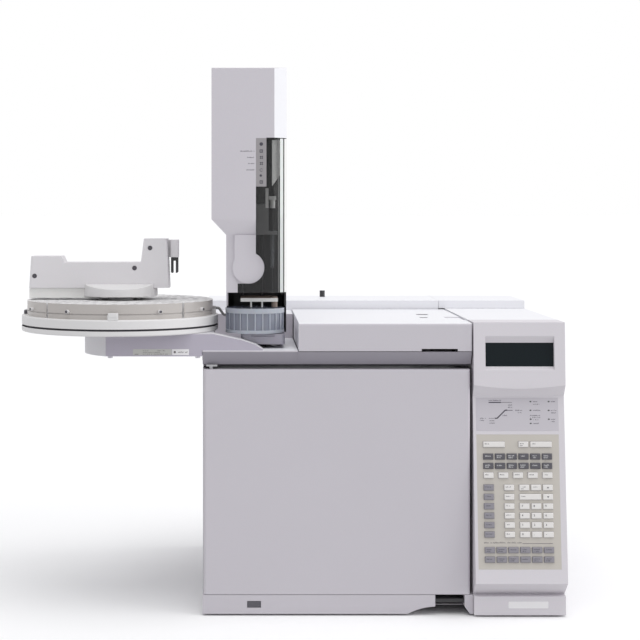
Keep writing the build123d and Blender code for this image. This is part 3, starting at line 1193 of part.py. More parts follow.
def tower_base():
    """Cast base with the foot on the shelf, the needle hole, the turret's spindle and its thrust collar."""
    base = block(BASE_LEFT, BASE_RIGHT, TOWER_BASE_FRONT, TOWER_BACK, TOWER_BASE_Z, TOWER_BASE_TOP)
    base = fillet(base.edges().filter_by(Axis.Z), BASE_CORNER)
    base += block(BASE_LEFT + BASE_CORNER, BASE_RIGHT - BASE_CORNER, FOOT_FRONT, TOWER_BACK - BASE_CORNER,
                  SHELF_Z, TOWER_BASE_Z)
    base -= block(BASE_LEFT + BASE_SLOT, BASE_RIGHT - BASE_SLOT, TOWER_BASE_FRONT - 1, TOWER_BASE_FRONT + 2,
                  TOWER_BASE_TOP - 4, TOWER_BASE_TOP - 1)
    base -= rod_z(NEEDLE_X, NEEDLE_Y, NEEDLE_HOLE, TOWER_BASE_Z - 1, TOWER_BASE_TOP + 1)
    base += rod_z(TURRET_X, TURRET_Y, SPINDLE, TOWER_BASE_TOP, TURRET_BOTTOM + SPINDLE_HEIGHT - 1)
    return base + rod_z(TURRET_X, TURRET_Y, 2 * SPINDLE, TOWER_BASE_TOP, TURRET_BOTTOM - SLIDING)


def tower_spine():
    """Back plate with the guide rods, their brackets, the needle guide shelf and the drive motor."""
    spine = block(SPINE_LEFT, SPINE_RIGHT, SPINE_Y, SPINE_Y + SPINE_THICK, TOWER_BASE_TOP, SPINE_TOP)
    spine += block(SPINE_LEFT + 12, SPINE_RIGHT - 2, GUARD_FRONT, SPINE_Y, GUARD_Z, GUARD_Z + GUARD_HEIGHT)
    spine += block(SPINE_LEFT + 8, ROD_X + ROD_SPREAD + 8, ROD_Y - 8, SPINE_Y, SPINE_TOP - 12, SPINE_TOP - 6)
    for side in (-1, 1):
        spine += rod_z(ROD_X + side * ROD_SPREAD, ROD_Y, ROD_RADIUS, GUARD_Z, SPINE_TOP - 6)
    for x in GUARD_PINS:
        spine += rod_z(x, GUARD_FRONT + 4, GUARD_PIN, TURRET_TOP + 1, GUARD_Z)
    spine += rod_z(GUARD_BUSH_X, GUARD_FRONT + 6, GUARD_BUSH, TURRET_TOP + 1, GUARD_Z + GUARD_HEIGHT + 2)
    spine -= rod_z(NEEDLE_X, NEEDLE_Y, BARREL_RADIUS + 1, GUARD_Z - 1, GUARD_Z + GUARD_HEIGHT + 1)
    back = SPINE_Y + SPINE_THICK
    spine += block(ROD_X - DRIVE / 2, ROD_X + DRIVE / 2, back, TOWER_BACK - MOULDING - 1,
                   DRIVE_Z, DRIVE_Z + DRIVE)
    return spine


def turret():
    """Vial turret: rim bands, ribbed skirt, a ring of vial pockets with open floors, and the spindle bore."""
    body = rod_z(TURRET_X, TURRET_Y, TURRET_RADIUS - TURRET_RIB, TURRET_BOTTOM, TURRET_TOP)
    body += rod_z(TURRET_X, TURRET_Y, TURRET_RADIUS, TURRET_BOTTOM, TURRET_BOTTOM + TURRET_BAND)
    body += rod_z(TURRET_X, TURRET_Y, TURRET_RADIUS, TURRET_RING_Z, TURRET_TOP)
    rib = Pos(TURRET_RADIUS - TURRET_RIB, 0, (TURRET_BOTTOM + TURRET_RING_Z) / 2)
    rib *= Box(2 * TURRET_RIB - 1, TURRET_RIB, TURRET_RING_Z - TURRET_BOTTOM)
    for i in range(TURRET_RIBS):
        body += Pos(TURRET_X, TURRET_Y, 0) * Rot(0, 0, 360 * i / TURRET_RIBS) * rib
    start = math.atan2(NEEDLE_Y - TURRET_Y, NEEDLE_X - TURRET_X)
    cuts = []
    for i in range(TURRET_POCKETS):
        angle = start + 2 * math.pi * i / TURRET_POCKETS
        x = TURRET_X + TURRET_PITCH * math.cos(angle)
        y = TURRET_Y + TURRET_PITCH * math.sin(angle)
        cuts.append(rod_z(x, y, POCKET_RADIUS, TURRET_BOTTOM + MOULDING, TURRET_TOP + 1))
        cuts.append(rod_z(x, y, BARREL_RADIUS + 1, TURRET_BOTTOM - 1, TURRET_BOTTOM + MOULDING + 1))
    cuts.append(rod_z(TURRET_X, TURRET_Y, SPINDLE + RUNNING, TURRET_BOTTOM - 1, TURRET_BOTTOM + SPINDLE_HEIGHT))
    cuts.append(rod_z(TURRET_X, TURRET_Y, TURRET_HUB, TURRET_TOP - TURRET_DISH, TURRET_TOP + 1))
    return body - cuts


def syringe():
    """Glass barrel with its finger flange and needle."""
    barrel = rod_z(NEEDLE_X, NEEDLE_Y, BARREL_RADIUS, BARREL_BOTTOM, BARREL_TOP)
    barrel += rod_z(NEEDLE_X, NEEDLE_Y, BARREL_FLANGE, BARREL_TOP, BARREL_TOP + 2)
    barrel -= rod_z(NEEDLE_X, NEEDLE_Y, PLUNGER_RADIUS + SLIDING, BARREL_BOTTOM + 3, BARREL_TOP + 3)
    return barrel + rod_z(NEEDLE_X, NEEDLE_Y, NEEDLE_RADIUS, NEEDLE_TIP, BARREL_BOTTOM)


def slider(z0, z1):
    """Block that runs on the two guide rods."""
    body = block(SLIDER_LEFT, SLIDER_RIGHT, ROD_Y - SLIDER_HALF, ROD_Y + SLIDER_HALF, z0, z1)
    for side in (-1, 1):
        body -= rod_z(ROD_X + side * ROD_SPREAD, ROD_Y, ROD_RADIUS + RUNNING, z0 - 1, z1 + 1)
    return body


def syringe_carriage():
    """Carriage with the clamp under the barrel's flange and the front guard plate."""
    low = BARREL_TOP - CLAMP
    carriage = slider(low, low + SLIDER_HEIGHT)
    carriage += block(PLATE_X0, NEEDLE_X + CLAMP + 2, CLAMP_FRONT, ROD_Y - SLIDER_HALF, low, BARREL_TOP)
    carriage += block(PLATE_X0, SLIDER_RIGHT, CLAMP_FRONT - MOULDING, CLAMP_FRONT, low, GUARD_PLATE_TOP)
    return carriage - rod_z(NEEDLE_X, NEEDLE_Y, BARREL_RADIUS + RUNNING, low - 1, BARREL_TOP + 1)


def plunger_carriage():
    """Carriage with the nose, the finger over the plunger and the plunger itself."""
    low = BARREL_TOP - CLAMP + SLIDER_HEIGHT + PLUNGER_TRAVEL + 1
    carriage = slider(low, low + NOSE)
    carriage += block(PLATE_X0 + 2, SLIDER_RIGHT + 1, CLAMP_FRONT + CLAMP, ROD_Y - SLIDER_HALF, low, low + NOSE)
    carriage += block(SLIDER_RIGHT, NEEDLE_X + CLAMP, NEEDLE_Y - FINGER_WIDTH / 2, NEEDLE_Y + FINGER_WIDTH / 2,
                      CAP_TOP, CAP_TOP + FINGER)
    carriage += rod_z(NEEDLE_X, NEEDLE_Y, PLUNGER_CAP, CAP_TOP - CAP_HEIGHT, CAP_TOP)
    return carriage + rod_z(NEEDLE_X, NEEDLE_Y, PLUNGER_RADIUS, BARREL_BOTTOM + PLUNGER_TRAVEL + 4, CAP_TOP)


# ================================================================ sample tray
def bracket_plan():
    """Plan of the bracket: straight front, bowed left end."""
    middle = (BRACKET_FRONT + BRACKET_BACK) / 2
    bow = ThreePointArc((BRACKET_BOW_X, BRACKET_BACK, 0), (BRACKET_LEFT, middle, 0),
                        (BRACKET_BOW_X, BRACKET_FRONT, 0))
    rest = Polyline((BRACKET_BOW_X, BRACKET_FRONT, 0), (BRACKET_TOE_START, BRACKET_FRONT, 0),
                    (BRACKET_TOE_START, BRACKET_BACK, 0), (BRACKET_BOW_X, BRACKET_BACK, 0))
    return make_face(bow.edges() + rest.edges())


def tray_bracket():
    """Moulded bracket over the mainframe's left edge: hollow below with ribs, a toe along the front."""
    plan = bracket_plan()
    bracket = Pos(0, 0, BRACKET_BOTTOM) * extrude(plan, amount=RING_BOTTOM - BRACKET_BOTTOM, dir=(0, 0, 1))
    wall = MOULDING
    pocket = Pos(0, 0, BRACKET_BOTTOM - 1) * extrude(offset(plan, amount=-wall), dir=(0, 0, 1),
                                                     amount=RING_BOTTOM - BRACKET_BOTTOM + 1 - wall)
    pocket -= block(-2 * wall, BRACKET_TOE_START, 0, BRACKET_BACK, BRACKET_BOTTOM - 2, RING_BOTTOM)
    for i in range(BRACKET_RIBS):
        x = BRACKET_BOW_X + (i + 0.5) * (-2 * wall - BRACKET_BOW_X) / BRACKET_RIBS
        pocket -= block(x, x + wall, 0, BRACKET_BACK, BRACKET_BOTTOM - 2, RING_BOTTOM)
    bracket -= pocket
    bracket -= block(-SEAM, BRACKET_TOE_START + 1, 0, BRACKET_BACK + 1, BRACKET_BOTTOM - 1, SHELF_Z)
    toe = [(BRACKET_TOE_START, RING_BOTTOM), *TOE_SLANT, (BRACKET_TOE_X, SHELF_Z), (BRACKET_TOE_START, SHELF_Z)]
    bracket += prism_y(toe, BRACKET_FRONT, BRACKET_TOE_BACK)
    for x in BRACKET_SCREWS:
        bracket += rod_z(x, BRACKET_FRONT + SCREW_HEAD + 1, SCREW_HEAD, BRACKET_BOTTOM - 3, BRACKET_BOTTOM + 5)
    return bracket


def tray_base():
    """Round base of the tray: grooved rim, hollow below, centre post with the arm's bearing, cable gland."""
    base = rod_z(TRAY_X, TRAY_Y, RING_RADIUS, RING_BOTTOM, RING_TOP)
    base = fillet(base.edges().filter_by(GeomType.CIRCLE), RING_EDGE)
    base -= rod_z(TRAY_X, TRAY_Y, RING_RADIUS - RING_WALL, RING_BOTTOM - 1, RING_TOP - MOULDING)
    groove = rod_z(TRAY_X, TRAY_Y, RING_RADIUS + 1, RING_GROOVE, RING_GROOVE_TOP)
    base -= groove - rod_z(TRAY_X, TRAY_Y, RING_RADIUS - RING_GROOVE_DEPTH, RING_GROOVE, RING_GROOVE_TOP)
    base += rod_z(TRAY_X, TRAY_Y, POST_RADIUS, RING_BOTTOM, POST_TOP)
    base -= rod_z(TRAY_X, TRAY_Y, HUB_SHAFT + RUNNING, POST_TOP - HUB_SHAFT_LENGTH, POST_TOP + 1)
    return base + block(GLAND_X - GLAND, GLAND_X, GLAND_Y - GLAND / 2, GLAND_Y + GLAND / 2, RING_TOP,
                        CABLE_START_Z + GLAND / 2)


def well_rows():
    """Radius and number of wells of each row of one rack, from the inside out."""
    return [(WELL_FIRST_RADIUS + i * WELL_ROW_PITCH, WELLS_IN_FIRST_ROW + i) for i in range(WELL_ROWS)]


def rack():
    """One quarter rack about the tray's centre, facing +X, with its rows of wells, foot band, tab and knobs."""
    corner = RACK_GAP / math.sqrt(2)
    wedge = prism_z([(corner, 0), (corner + RING_RADIUS, -RING_RADIUS), (corner + RING_RADIUS, RING_RADIUS)],
                    RACK_BOTTOM, RACK_TOP)
    ring = rod_z(0, 0, RACK_RADIUS, RACK_BOTTOM, RACK_TOP)
    ring -= rod_z(0, 0, RACK_INNER, RACK_BOTTOM - 1, RACK_TOP + 1)
    band = rod_z(0, 0, RACK_RADIUS + 1, RACK_BAND_Z, RACK_BAND_Z + RACK_BAND)
    ring -= band - rod_z(0, 0, RACK_RADIUS - RACK_BAND, RACK_BAND_Z, RACK_BAND_Z + RACK_BAND)
    body = ring & wedge
    wells = []
    for radius, count in well_rows():
        for i in range(count):
            angle = (i + 0.5) * 90 / count - 45
            place = Rot(0, 0, angle) * Pos(radius, 0, RACK_TOP - WELL_DEPTH)
            wells.append(place * extrude(RegularPolygon(WELL_RADIUS, WELL_SIDES), amount=WELL_DEPTH + 1))
    body -= wells
    root = RACK_RADIUS - RACK_BAND - 1
    for angle in (-KNOB_ANGLE, KNOB_ANGLE):
        body += Rot(0, 0, angle) * rod_x(0, KNOB_Z, KNOB_RADIUS, root, RACK_RADIUS + KNOB_REACH)
    return body + block(root, RACK_RADIUS + KNOB_REACH, -TAB / 2, TAB / 2, RACK_BOTTOM, RACK_BAND_Z)


def tray_quadrants():
    """The four racks of the tray."""
    quarter = rack()
    return [Pos(TRAY_X, TRAY_Y, 0) * Rot(0, 0, 90 * i) * quarter for i in range(4)]


def arm_hub():
    """Turning hub: top falling to its rim, the beam's channel, the keel slot, the support plate, the shaft."""
    hub = rod_z(TRAY_X, TRAY_Y, HUB_RADIUS, HUB_BOTTOM, HUB_TOP)
    for side in (-1, 1):
        rim = TRAY_Y + side * HUB_RADIUS
        ridge = TRAY_Y + side * ARM_WIDTH / 2
        hub -= prism_x([(rim, HUB_TOP - HUB_DIP), (ridge, HUB_TOP), (ridge, HUB_TOP + 1), (rim, HUB_TOP + 1)],
                       TRAY_X - HUB_RADIUS - 1, TRAY_X + HUB_RADIUS + 1)
    hub += block(ARM_LEFT_FOOT, TRAY_X - HUB_RADIUS / 2, TRAY_Y - SUPPORT / 2, TRAY_Y + SUPPORT / 2, ARM_FOOT_Z,
                 ARM_SEAT_Z - SLIDING)
    half = ARM_WIDTH / 2 + SLIDING
    hub -= block(ARM_LEFT_FOOT - 1, TRAY_X + HUB_RADIUS + 1, TRAY_Y - half, TRAY_Y + half,
                 ARM_SEAT_Z - SLIDING, HUB_TOP + 1)
    hub -= block(KEEL_LEFT - REACH_IN - 1, TRAY_X + HUB_RADIUS + 1, TRAY_Y - KEEL / 2 - SLIDING,
                 TRAY_Y + KEEL / 2 + SLIDING, ARM_SEAT_Z - KEEL_DEPTH - SLIDING, HUB_TOP)
    hub += rod_z(TRAY_X, TRAY_Y, POST_RADIUS, POST_TOP + SLIDING, HUB_BOTTOM)
    return hub + rod_z(TRAY_X, TRAY_Y, HUB_SHAFT, POST_TOP - HUB_SHAFT_LENGTH + 1, HUB_BOTTOM)


def arm_beam():
    """Arm body with its stepped outline, rounded corners, keel and the slot that guides the gripper head."""
    outline = [(ARM_LEFT_FOOT, ARM_SEAT_Z), (ARM_LEFT, ARM_LEFT_TOP), (ARM_STEP_X - 3, ARM_LEFT_TOP),
               (ARM_STEP_X + 2, ARM_MIDDLE_Z), (ARM_HEAD_LEFT - 7, ARM_MIDDLE_Z),
               (ARM_HEAD_LEFT - 2, ARM_HEAD_TOP),
               (ARM_RIGHT_TOP, ARM_HEAD_TOP), (ARM_RIGHT, ARM_SEAT_Z)]
    half = ARM_WIDTH / 2
    beam = prism_y(outline, TRAY_Y - half, TRAY_Y + half)
    ends = [face.edges().sort_by(Axis.Y) for face in beam.faces().filter_by(GeomType.PLANE)
            if face.center().X < ARM_LEFT + 1 or face.center().X > ARM_RIGHT_TOP]
    beam = fillet([edge for edges in ends for edge in (edges[0], edges[-1])], ARM_CORNER)
    for x, z in ARM_SCREWS:
        for y in (TRAY_Y - half, TRAY_Y + half - ARM_SCREW_DEPTH):
            beam -= rod_y(x, z, ARM_SCREW_RADIUS, y - 0.01, y + ARM_SCREW_DEPTH + 0.01)
    slot = HEAD_TONGUE / 2 + SLIDING
    beam -= block(TONGUE_BACK - SLIDING, ARM_RIGHT + 1, TRAY_Y - slot, TRAY_Y + slot,
                  HEAD_BOTTOM - HEAD_TRAVEL - 2, ARM_HEAD_TOP + 1)
    keel = KEEL / 2
    return beam + block(KEEL_LEFT, KEEL_RIGHT, TRAY_Y - keel, TRAY_Y + keel, ARM_SEAT_Z - KEEL_DEPTH, ARM_SEAT_Z)


def gripper_head():
    """Lifting head with its guide tongue and the slot that carries the jaws."""
    half = HEAD_WIDTH / 2
    tongue = HEAD_TONGUE / 2
    head = block(HEAD_LEFT, HEAD_RIGHT, TRAY_Y - half, TRAY_Y + half, HEAD_BOTTOM, ARM_HEAD_TOP - 2)
    head = fillet(head.edges().filter_by(Axis.Z), 2)
    head += block(TONGUE_BACK, HEAD_LEFT + 1, TRAY_Y - tongue, TRAY_Y + tongue, HEAD_BOTTOM, ARM_HEAD_TOP - 2)
    reach = JAW_OPEN + JAW_THICK + SLIDING
    return head - block(JAW_X - STEM - SLIDING, JAW_X + STEM + SLIDING, TRAY_Y - reach, TRAY_Y + reach,
                        HEAD_BOTTOM - 1, HEAD_BOTTOM + STEM_HEIGHT + SLIDING)


def gripper_jaw(side):
    """One jaw: two prongs with relieved tips, and the stem that slides in the head's slot."""
    inner = TRAY_Y + side * JAW_OPEN
    outer = TRAY_Y + side * (JAW_OPEN + JAW_THICK)
    low = min(inner, outer)
    high = max(inner, outer)
    finger = block(JAW_X - JAW_HALF, JAW_X + JAW_HALF, low, high, JAW_BOTTOM, HEAD_BOTTOM - SLIDING)
    tip = finger.edges().filter_by(Axis.Y).group_by(Axis.Z)[0]
    finger = chamfer(tip, JAW_TAPER)
    root = HEAD_BOTTOM - JAW_ROOT
    finger -= block(JAW_X - JAW_SLOT / 2, JAW_X + JAW_SLOT / 2, low - 1, high + 1, JAW_BOTTOM - 1, root)
    return finger + block(JAW_X - STEM, JAW_X + STEM, low + SLIDING, high - SLIDING, root + 1,
                          HEAD_BOTTOM + STEM_HEIGHT)


def tray_cable():
    """Lead from the tray's gland to the tower's left side: straight runs joined by tangent arcs."""
    route = [(GLAND_X, GLAND_Y, CABLE_START_Z), (GLAND_X + CABLE_END, GLAND_Y, CABLE_START_Z),
             (TOWER_WAIST - CABLE_END, GLAND_Y, CABLE_END_Z), (TOWER_WAIST, GLAND_Y, CABLE_END_Z)]
    path = FilletPolyline(*route, radius=[CABLE_BEND, CABLE_BEND])
    section = Plane(origin=route[0], z_dir=(1, 0, 0)) * Circle(CABLE_RADIUS)
    return sweep(section, path)


def main():
    """Writes every sub-part."""
    os.makedirs("parts", exist_ok=True)
    singles = [base_pan, left_side_panel, right_side_panel, back_panel, heater_coil, fan_motor,
               oven_fan, front_fascia, inlet_shelf_cover, detector_lid, rear_cover_left, rear_cover_right,
               console_top_cover, console_bezel, display_window, status_panel, keypad_plate, main_board,
               front_inlet, flame_detector, column_cage, capillary_column,
               oven_door_skin, oven_door_liner, door_latch, power_button, tower_base, tower_housing,
               tower_front_cover, indicator_strip, tower_door, tower_spine, turret, syringe, syringe_carriage,
               plunger_carriage, tray_bracket, tray_base, arm_hub, arm_beam, gripper_head, tray_cable]
    for make in singles:
        write(make.__name__, make())
    for make in (feet, oven_liner, oven_insulation, power_supply, epc_manifold, door_hinge_pins, tray_quadrants):
        write(make.__name__, *make())
    for name, places in key_places().items():
        write(name, *keys(places))
    write("gripper_jaw_left", gripper_jaw(-1))
    write("gripper_jaw_right", gripper_jaw(1))


if __name__ == "__main__":
    main()
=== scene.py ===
"""Looks of the bench gas chromatograph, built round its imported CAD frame.

Metres, in the row frame: X to the right, Y to the back, Z up. Pieces are placed in millimetres from the
mainframe's left front corner on the bench, and each rides on the body of the node that carries it.
"""

import json
import math
import random

import bmesh
import bpy
from mathutils import Matrix, Vector


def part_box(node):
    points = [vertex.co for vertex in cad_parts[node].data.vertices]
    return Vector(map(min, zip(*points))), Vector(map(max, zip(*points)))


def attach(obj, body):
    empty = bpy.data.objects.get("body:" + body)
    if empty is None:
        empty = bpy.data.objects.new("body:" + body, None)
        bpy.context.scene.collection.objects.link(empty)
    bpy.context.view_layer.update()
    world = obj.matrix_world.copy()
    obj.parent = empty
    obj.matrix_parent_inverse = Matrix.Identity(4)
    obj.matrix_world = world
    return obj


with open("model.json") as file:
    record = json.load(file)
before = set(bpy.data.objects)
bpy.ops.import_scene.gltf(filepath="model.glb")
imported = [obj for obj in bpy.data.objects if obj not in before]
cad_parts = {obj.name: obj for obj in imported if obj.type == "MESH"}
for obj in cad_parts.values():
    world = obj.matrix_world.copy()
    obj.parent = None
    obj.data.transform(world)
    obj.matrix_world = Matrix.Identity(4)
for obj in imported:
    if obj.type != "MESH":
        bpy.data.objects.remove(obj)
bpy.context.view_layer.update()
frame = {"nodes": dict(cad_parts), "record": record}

MM = 0.001

# ---------------------------------------------------------------- camera and light
CAMERA_PLACE = (-0.0766, -2.739, 0.659)
LENS = 86.37
SHIFT_X = 0.1219
SHIFT_Y = -0.1703
SKY_LEVEL = 0.58
SUNS = ((1.2, 50.0, (0.0, 0.3, -1.0)),  # strength, degrees across for soft shadows, direction
        (1.5, 60.0, (-1.0, 0.15, -0.25)))
FLOOR_BOUNCE = 0.75  # how much light the floor gives back to the object
FLOOR_SIZE = 400.0

# ---------------------------------------------------------------- edges: width of the rounding on each node
EDGE_WIDTHS = {
    0.4: ("base_pan", "left_side_panel", "right_side_panel", "back_panel", "front_fascia",
          "inlet_shelf_cover", "rear_cover_left", "rear_cover_right", "console_top_cover", "indicator_strip",
          "tower_door", "power_button", "gripper_head", "gripper_jaw_left", "gripper_jaw_right",
          "syringe_carriage", "plunger_carriage", "tower_spine", "door_latch", "turret", "display_window",
          "status_panel"),
    0.3: ("start_key", "stop_key", "prep_run_key", "zone_keys", "program_keys", "function_keys", "entry_keys",
          "numeric_keys", "method_keys", "power_supply", "epc_manifold", "fan_motor",
          "oven_liner", "column_cage", "heater_coil", "feet"),
    0.8: ("detector_lid", "console_bezel", "oven_door_liner", "tray_base", "arm_hub", "tower_base"),
    1.0: ("oven_door_skin", "tower_front_cover", "tower_housing", "tray_bracket", "arm_beam"),
}
EDGE_ANGLE = math.radians(32)
FLAT_ANGLE = math.radians(0.4)  # neighbouring faces that lean less than this are one flat face
WELD_REACH = 2e-6

# ---------------------------------------------------------------- grain of the finishes
DRIFT_SCALE = 7.0  # how often the broad colour drift comes back, per metre
GRAIN_SCALE = 0.6  # noise scale that gives a fleck of one grain size
GRAIN_RELIEF = 0.12  # depth of the grain, as a share of its size
GLOSS_SPREAD = 0.07  # how far the roughness strays to either side
PLASTIC_IOR = 1.46


# ================================================================ materials
def linear(colour):
    """A colour as it looks on screen, turned into the shader's linear values."""
    return [c / 12.92 if c <= 0.04045 else ((c + 0.055) / 1.055) ** 2.4 for c in colour]


def tinted(colour, factor):
    """The colour made lighter or darker, with its alpha."""
    return [min(1.0, c * factor) for c in linear(colour)] + [1.0]


def surface(name, colour, rough, grain=0.15, grain_size=0.0008, mottle=0.02, stretch=(1, 1, 1), **fixed):
    """A finish with broad colour drift, uneven gloss and a fine grain, all in object space."""
    material = bpy.data.materials.new(name)
    material.use_nodes = True
    nodes = material.node_tree.nodes
    links = material.node_tree.links
    shader = nodes["Principled BSDF"]
    shader.inputs["Roughness"].default_value = rough
    for socket, value in fixed.items():
        shader.inputs[socket.replace("_", " ")].default_value = value

    place = nodes.new("ShaderNodeTexCoord")
    mapping = nodes.new("ShaderNodeMapping")
    mapping.inputs["Scale"].default_value = stretch
    links.new(place.outputs["Object"], mapping.inputs["Vector"])

    drift = nodes.new("ShaderNodeTexNoise")
    drift.inputs["Scale"].default_value = DRIFT_SCALE
    drift.inputs["Detail"].default_value = 4.0
    links.new(place.outputs["Object"], drift.inputs["Vector"])
    speckle = nodes.new("ShaderNodeTexNoise")
    speckle.inputs["Scale"].default_value = GRAIN_SCALE / grain_size
    speckle.inputs["Detail"].default_value = 2.0
    links.new(mapping.outputs["Vector"], speckle.inputs["Vector"])

    blend = nodes.new("ShaderNodeMix")
    blend.data_type = "RGBA"
    blend.inputs["A"].default_value = tinted(colour, 1 - mottle)
    blend.inputs["B"].default_value = tinted(colour, 1 + mottle)
    links.new(drift.outputs["Fac"], blend.inputs["Factor"])
    fleck = nodes.new("ShaderNodeMix")
    fleck.data_type = "RGBA"
    fleck.blend_type = "MULTIPLY"
    fleck.inputs["Factor"].default_value = min(1.0, 3 * mottle)
    links.new(blend.outputs["Result"], fleck.inputs["A"])
    links.new(speckle.outputs["Color"], fleck.inputs["B"])
    tone = nodes.new("ShaderNodeHueSaturation")
    tone.inputs["Value"].default_value = 1.0 + 1.5 * mottle
    links.new(fleck.outputs["Result"], tone.inputs["Color"])
    links.new(tone.outputs["Color"], shader.inputs["Base Color"])

    gloss = nodes.new("ShaderNodeMapRange")
    gloss.inputs["To Min"].default_value = max(0.02, rough - GLOSS_SPREAD)
    gloss.inputs["To Max"].default_value = min(1.0, rough + GLOSS_SPREAD)
    links.new(drift.outputs["Fac"], gloss.inputs["Value"])
    links.new(gloss.outputs["Result"], shader.inputs["Roughness"])

    if grain:
        bump = nodes.new("ShaderNodeBump")
        bump.inputs["Strength"].default_value = grain
        bump.inputs["Distance"].default_value = GRAIN_RELIEF * grain_size
        links.new(speckle.outputs["Fac"], bump.inputs["Height"])
        links.new(bump.outputs["Normal"], shader.inputs["Normal"])
    return material


def clear(name, colour, rough, transmission, alpha=1.0):
    """A see-through finish with faint moulding waves; an alpha below 1 lets light through unbent."""
    material = surface(name, colour, rough, grain=0.05, grain_size=0.006, mottle=0.03)
    shader = material.node_tree.nodes["Principled BSDF"]
    shader.inputs["Transmission Weight"].default_value = transmission
    shader.inputs["IOR"].default_value = PLASTIC_IOR
    shader.inputs["Alpha"].default_value = alpha
    return material


METAL = {"Metallic": 1.0}
SHADED = {"Specular_IOR_Level": 0.12}
SEE_THROUGH = {"Transmission_Weight": 0.35, "IOR": PLASTIC_IOR}
LOOKS = {
    "housing_grey": surface("housing_grey", (0.79, 0.775, 0.80), 0.48, 0.2, 0.0009, 0.015),
    "cover_white": surface("cover_white", (0.93, 0.93, 0.945), 0.45, 0.2, 0.0009, 0.012),
    "moulding_grey": surface("moulding_grey", (0.845, 0.83, 0.85), 0.55, 0.35, 0.0011, 0.018),
    # Painted shade: the fascia takes a darker grey than the housing, because it faces down.
    "fascia_dark": surface("fascia_dark", (0.60, 0.585, 0.62), 0.55, 0.3, 0.0011, 0.02),
    "steel": surface("steel", (0.66, 0.66, 0.67), 0.34, 0.25, 0.0006, 0.05, (1, 1, 14), **METAL),
    "zinc_sheet": surface("zinc_sheet", (0.72, 0.72, 0.73), 0.42, 0.2, 0.004, 0.08, **METAL),
    "insulation_fibre": surface("insulation_fibre", (0.86, 0.83, 0.77), 0.95, 1.0, 0.0025, 0.06),
    "element_metal": surface("element_metal", (0.36, 0.33, 0.31), 0.5, 0.4, 0.001, 0.15, **METAL),
    "cast_aluminium": surface("cast_aluminium", (0.62, 0.61, 0.65), 0.45, 0.5, 0.0014, 0.05, Metallic=0.4),
    "rubber_black": surface("rubber_black", (0.09, 0.09, 0.09), 0.8, 0.4, 0.001, 0.08),
    "status_grey": surface("status_grey", (0.78, 0.765, 0.79), 0.5, 0.15, 0.0007, 0.015),
    "plate_beige": surface("plate_beige", (0.775, 0.755, 0.725), 0.5, 0.15, 0.0007, 0.015),
    "key_dark": surface("key_dark", (0.34, 0.335, 0.36), 0.5, 0.25, 0.0006, 0.05),
    "key_grey": surface("key_grey", (0.56, 0.55, 0.58), 0.5, 0.25, 0.0006, 0.03),
    "key_light": surface("key_light", (0.90, 0.89, 0.88), 0.5, 0.25, 0.0006, 0.02),
    "board_green": surface("board_green", (0.10, 0.32, 0.18), 0.35, 0.4, 0.002, 0.2),
    "column_polyimide": surface("column_polyimide", (0.62, 0.34, 0.12), 0.3, 0.8, 0.0006, 0.15, (1, 30, 1)),
    "dark_plastic": surface("dark_plastic", (0.19, 0.19, 0.20), 0.5, 0.3, 0.001, 0.08),
    "tray_white": surface("tray_white", (0.87, 0.865, 0.865), 0.5, 0.3, 0.001, 0.015),
    "arm_grey": surface("arm_grey", (0.87, 0.86, 0.87), 0.5, 0.3, 0.001, 0.015),
    "cable_grey": surface("cable_grey", (0.62, 0.62, 0.62), 0.6, 0.3, 0.0008, 0.05),
    "display_glass": surface("display_glass", (0.09, 0.12, 0.135), 0.35, 0.0, 0.001, 0.15, **SHADED),
    "smoked_plastic": clear("smoked_plastic", (0.26, 0.26, 0.26), 0.1, 0.0, 0.24),
    "turret_plastic": clear("turret_plastic", (0.70, 0.72, 0.78), 0.22, 0.55),
    "syringe_glass": clear("syringe_glass", (0.95, 0.97, 0.98), 0.03, 0.95),
}
PRINT_DARK = surface("print_dark", (0.27, 0.26, 0.30), 0.6, 0.1, 0.0005, 0.1)
PRINT_LIGHT = surface("print_light", (0.88, 0.88, 0.88), 0.6, 0.1, 0.0005, 0.05)
LABEL_PAPER = surface("label_paper", (0.93, 0.925, 0.93), 0.6, 0.1, 0.0005, 0.02)
INDICATOR = surface("indicator", (0.61, 0.595, 0.605), 0.5, 0.15, 0.0007, 0.015)
# Painted shade: a darker grey for the band round each key, for the keys' shadows in their holes.
KEY_SHADE_BAND = surface("key_shade_band", (0.50, 0.49, 0.51), 0.6, 0.1, 0.0005, 0.05)
TOWER_GREY = surface("tower_grey", (0.81, 0.795, 0.82), 0.55, 0.35, 0.0011, 0.018)
BRACKET_GREY = surface("bracket_grey", (0.85, 0.845, 0.86), 0.55, 0.35, 0.0011, 0.018)
# Painted shadow: a darker grey for the bracket's front faces, which lie in the tray's shadow.
BRACKET_SHADOW = surface("bracket_shadow", (0.71, 0.69, 0.74), 0.55, 0.35, 0.0011, 0.018)
# Painted reflection: a darker brownish grey for the racks' outer walls, for what their clear wall reflects.
RACK_WALL_REFLECTION = surface("rack_wall_reflection", (0.735, 0.715, 0.70), 0.35, 0.2, 0.001, 0.02)
